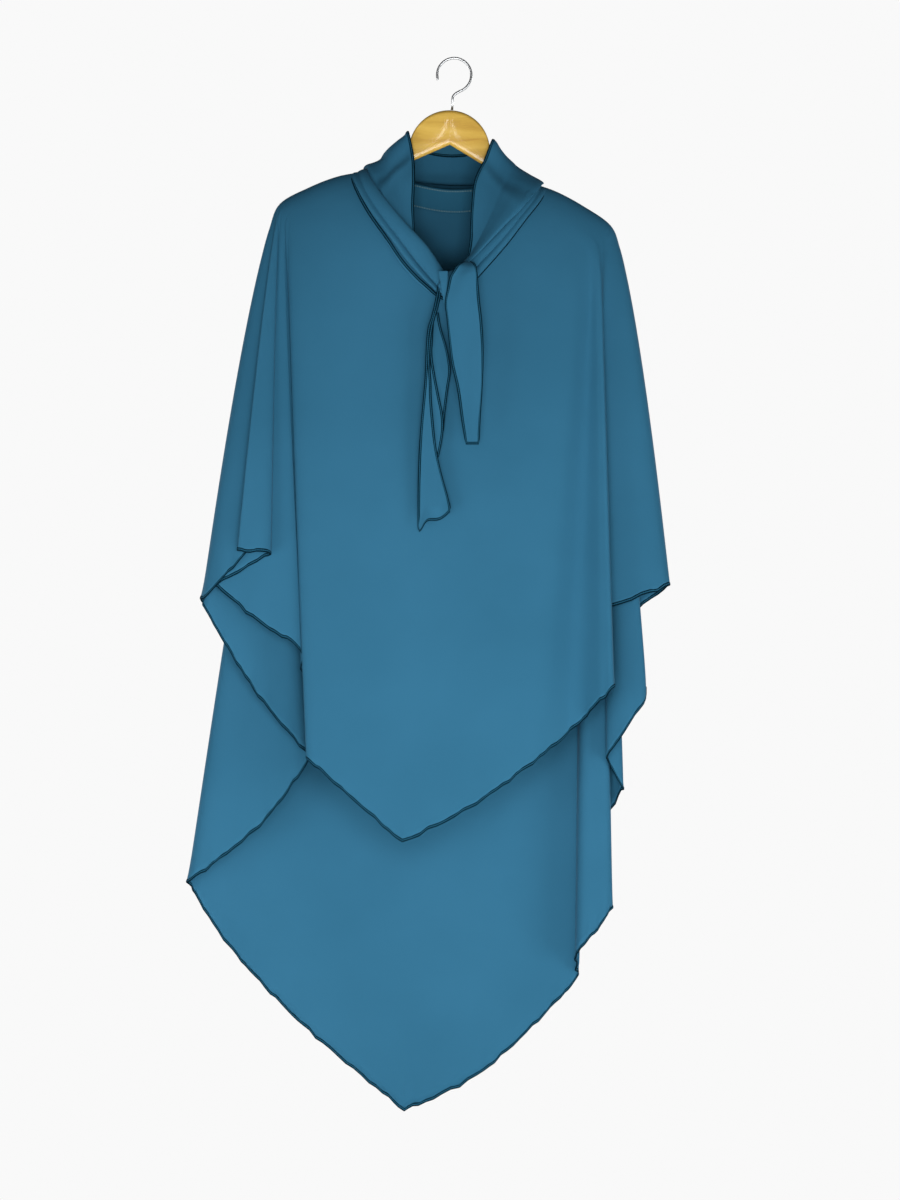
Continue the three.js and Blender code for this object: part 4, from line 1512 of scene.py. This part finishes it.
@dataclass
class Hanger(Part):
    """The wooden hanger and its wire hook."""

    thickness: float = 12.0
    end_height: float = 17.0
    bevel: float = 5.0
    head_radius: float = 54.0
    head_below_hook: float = 68.0
    notch_below_hook: float = 114.0
    knee_rise: float = 15.0
    knee_across: float = 100.0
    end_rounding: float = 0.7
    crown: float = 0.9
    crown_reach: float = 30.0
    side_pinch: float = 0.3
    bevel_shares: Pair = (0.4, 0.85)
    wire_radius: float = 1.7
    hook_radius: float = 21.0
    hook_neck: float = 16.0
    hook_gap: float = 0.5
    stations: int = 241
    corner_steps: int = 7

    def tilted(self, points: Array) -> Array:
        """Points turned with the hanger about the hook.

        Args:
            points: the points before the turn.

        Returns:
            The turned points.
        """
        c, s = math.cos(self.shoulders.tilt), math.sin(self.shoulders.tilt)
        x, y, z = points[..., 0], points[..., 1], points[..., 2]
        return np.stack([x * c + z * s, y, z * c - x * s], axis=-1)

    def top(self, across: float) -> float:
        """The height of the board's upper edge.

        Args:
            across: a place along the board.

        Returns:
            The height there, over the arms, the knees or the arch.
        """
        x = abs(across)
        knee = min(1.0, max(0.0, (self.knee_across - x) / (self.knee_across - self.head_radius)))
        arm = float(self.shoulders.arm_top(x)) + self.knee_rise * knee ** 2
        arch = math.sqrt(max(0.0, self.head_radius ** 2 - x ** 2)) - self.head_below_hook - self.head_radius
        return max(arm, arch) if x < self.head_radius else arm

    def bottom(self, across: float) -> float:
        """The height of the board's lower edge."""
        end = float(self.shoulders.arm_top(self.shoulders.half_width)) - self.end_height
        return mix(-self.notch_below_hook, end, abs(across) / self.shoulders.half_width)

    def section(self, x: float) -> list[list[float]]:
        """The board's outline at a place along it, with its edges rounded.

        Args:
            x: the place.

        Returns:
            The outline's points.
        """
        half = self.shoulders.half_width
        rounding = self.end_height / 2
        past = max(0.0, (abs(x) - half + rounding) / rounding)
        pinch = rounding * (1 - math.sqrt(max(0.0, 1 - past ** 2))) * self.end_rounding
        high, low = self.top(x) - pinch, self.bottom(x) + pinch
        bulge = self.crown * math.exp(-((x / self.crown_reach) ** 2))
        side = self.thickness / 2 - pinch * self.side_pinch - self.crown + bulge
        bevel = min(self.bevel, (high - low) * self.bevel_shares[0], side * self.bevel_shares[1])
        turns = np.linspace(0, np.pi / 2, self.corner_steps)
        corners = (
            (side - bevel, high - bevel, 0.0), (-(side - bevel), high - bevel, np.pi / 2),
            (-(side - bevel), low + bevel, np.pi), (side - bevel, low + bevel, 1.5 * np.pi),
        )
        return [
            [x, y + bevel * math.cos(start + a), z + bevel * math.sin(start + a)]
            for y, z, start in corners for a in turns
        ]

    def board(self) -> Array:
        """The board in sections, closer together at the arch's feet and at the ends.

        Returns:
            Sections, their points and coordinates.
        """
        half = self.shoulders.half_width
        even = np.linspace(-1, 1, self.stations) * half
        feet = [s * (self.head_radius + d) for s in (-1, 1) for d in (-2.5, -1.5, -0.8, -0.3, 0.0, 0.3)]
        ends = [s * (half - d) for s in (-1, 1) for d in (0.2, 0.5, 1.0)]
        places = sorted({round(float(x), 2) for x in [*even, *feet, *ends]})
        return self.tilted(np.array([self.section(x) for x in places]))

    def wire(self) -> Array:
        """The hook's wire: an open round hook, a bend and a straight neck down to the wood.

        Returns:
            Rings of points along the wire.
        """
        bend = self.hook_radius + self.wire_radius
        middle = self.wire_radius - bend
        foot = -self.head_below_hook + self.hook_gap
        angle = np.radians(np.linspace(200, -62, 64))
        path = [np.array([bend * math.cos(a), 0.0, middle + bend * math.sin(a)]) for a in angle]
        end, neck = path[-1], foot + self.hook_neck
        control, low = np.array([0.0, 0.0, (end[2] + neck) / 2]), np.array([0.0, 0.0, neck])
        for t in np.linspace(0, 1, 20)[1:]:
            path.append((1 - t) ** 2 * end + 2 * t * (1 - t) * control + t * t * low)
        path.append(np.array([0.0, 0.0, foot]))
        line = np.array(path)
        ahead = unit(np.gradient(line, axis=0))
        side = np.tile(np.array([0.0, 1.0, 0.0]), (len(line), 1))
        out = unit(np.cross(side, ahead))
        turns = np.linspace(0, TURN, 16, endpoint=False)[None, :, None]
        spokes = side[:, None] * np.cos(turns) + out[:, None] * np.sin(turns)
        return self.tilted(line[:, None] + self.wire_radius * spokes)

    def make(self) -> Piece:
        """Builds the board and the hook.

        Returns:
            The board.
        """
        wood = swept_object("hanger_board", self.board(), False)
        wire = swept_object("hanger_wire", self.wire(), False)
        placed(wood, self.finishes.wood, Slot.WOOD, "hanger_wood")
        placed(wire, self.finishes.wire, Slot.WIRE, "hanger_hook")
        return wood


# ---------------------------------------------------------------- the studio


@dataclass(frozen=True)
class Lamp:
    """A rectangular studio lamp: its place, aim, size and power."""

    name: Light
    place: Triple
    aim: Triple
    size: Pair
    power: float


@dataclass
class Studio:
    """The camera straight in front, soft lamps, a pale room and a plain floor."""

    lens: float = 400.0
    sensor: float = 36.0
    frame_height: float = 1.6
    centre: Triple = (-0.007, 0.02, -0.72)
    floor_height: float = -1.76
    floor_radius: float = 1.4
    floor_sides: int = 96
    room: float = 0.947
    low_light: float = 0.42
    high_light: float = 0.18
    lamps: tuple[Lamp, ...] = (
        Lamp(Light.LEFT, (-1.4, -1.1, -1.5), (0.0, 0.0, -0.9), (0.7, 1.0), 15.0),
        Lamp(Light.RIGHT, (1.4, -1.1, -1.4), (0.0, 0.0, -0.85), (0.7, 1.0), 15.0),
        Lamp(Light.FRONT, (0.05, -1.5, -1.3), (0.0, 0.0, -0.95), (1.0, 0.7), 9.5),
        Lamp(Light.NECK, (0.0, -2.4, -0.62), (0.0, 0.0, -0.3), (0.9, 0.6), 26.0),
        Lamp(Light.BACK_LEFT, (-2.1, 2.0, -0.7), (0.0, 0.0, -0.75), (0.9, 1.4), 30.0),
        Lamp(Light.BACK_RIGHT, (2.1, 2.0, -0.7), (0.0, 0.0, -0.75), (0.9, 1.4), 30.0),
        Lamp(Light.STRIP, (-0.045, -3.0, 0.02), (-0.03, 0.0, -0.1), (0.035, 0.5), 1.0),
    )

    def camera(self) -> None:
        """Sets the camera straight in front, at the distance where the frame's height fits."""
        data = bpy.data.cameras.new("front_camera")
        data.lens, data.sensor_width = self.lens, self.sensor
        made = stood("front_camera", data)
        distance = self.frame_height * self.lens / self.sensor
        made.location = (self.centre[0], self.centre[1] - distance, self.centre[2])
        made.rotation_euler = (math.pi / 2, 0.0, 0.0)
        data.clip_start, data.clip_end = 0.1, 100.0
        bpy.context.scene.camera = made

    def light(self) -> None:
        """Sets the lamps and the room's light."""
        for lamp in self.lamps:
            data = bpy.data.lights.new(lamp.name.value, "AREA")
            data.shape = "RECTANGLE"
            data.size, data.size_y = lamp.size
            data.energy = lamp.power
            made = stood(lamp.name.value, data)
            made.location = lamp.place
            way = np.array(lamp.aim) - np.array(lamp.place)
            flat = math.hypot(way[0], way[1])
            made.rotation_euler = (math.atan2(flat, -way[2]), 0.0, math.atan2(-way[0], way[1]))
        self.air()

    def air(self) -> None:
        """Sets a plain backdrop for the camera, and a light on the veil that changes with height."""
        world = bpy.data.worlds.new("pale_room")
        world.use_nodes = True
        tree = world.node_tree
        seen = tree.nodes["Background"]
        seen.inputs[0].default_value = (self.room, self.room, self.room, 1.0)
        kinds = ("TexCoord", "SeparateXYZ", "MapRange", "Background", "LightPath", "MixShader")
        place, height, share, glow, path, either = (tree.nodes.new(f"ShaderNode{kind}") for kind in kinds)
        share.inputs["From Min"].default_value = -1.0
        share.inputs["To Min"].default_value = self.low_light
        share.inputs["To Max"].default_value = self.high_light
        for source, target in (
            (place.outputs["Generated"], height.inputs[0]),
            (height.outputs[2], share.inputs["Value"]),
            (share.outputs[0], glow.inputs[1]),
            (path.outputs["Is Camera Ray"], either.inputs[0]),
            (glow.outputs[0], either.inputs[1]),
            (seen.outputs[0], either.inputs[2]),
            (either.outputs[0], tree.nodes["World Output"].inputs["Surface"]),
        ):
            tree.links.new(source, target)
        bpy.context.scene.world = world
        bpy.context.scene.view_settings.view_transform = "Standard"

    def floor(self) -> None:
        """Lays the plain floor, well under the veil."""
        angle = np.linspace(0, TURN, self.floor_sides, endpoint=False)
        x, y = np.cos(angle) * self.floor_radius, np.sin(angle) * self.floor_radius
        ring = np.stack([x, y, np.full(self.floor_sides, self.floor_height)], axis=1)
        mesh = bpy.data.meshes.new("studio_floor")
        mesh.from_pydata(ring.tolist(), [], [list(range(self.floor_sides))])
        mesh.materials.append(Paint().make())
        stood("studio_floor", mesh)

    def make(self) -> None:
        """Sets up the whole studio."""
        self.camera()
        self.light()
        self.floor()


def main() -> None:
    """Builds the studio and every piece in order."""
    logging.basicConfig(level=logging.INFO, format="%(name)s %(message)s")
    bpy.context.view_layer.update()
    finishes = Finishes()
    shoulders = Shoulders()
    Studio().make()
    for part in (Hanger, Cape, Hood, NapeBand, NeckTie):
        part(shoulders, finishes).make()
    knot = Knot(shoulders, finishes)
    knot.make()
    Tails(knot, finishes).make()
    bpy.context.view_layer.update()


if __name__ == "__main__":
    main()
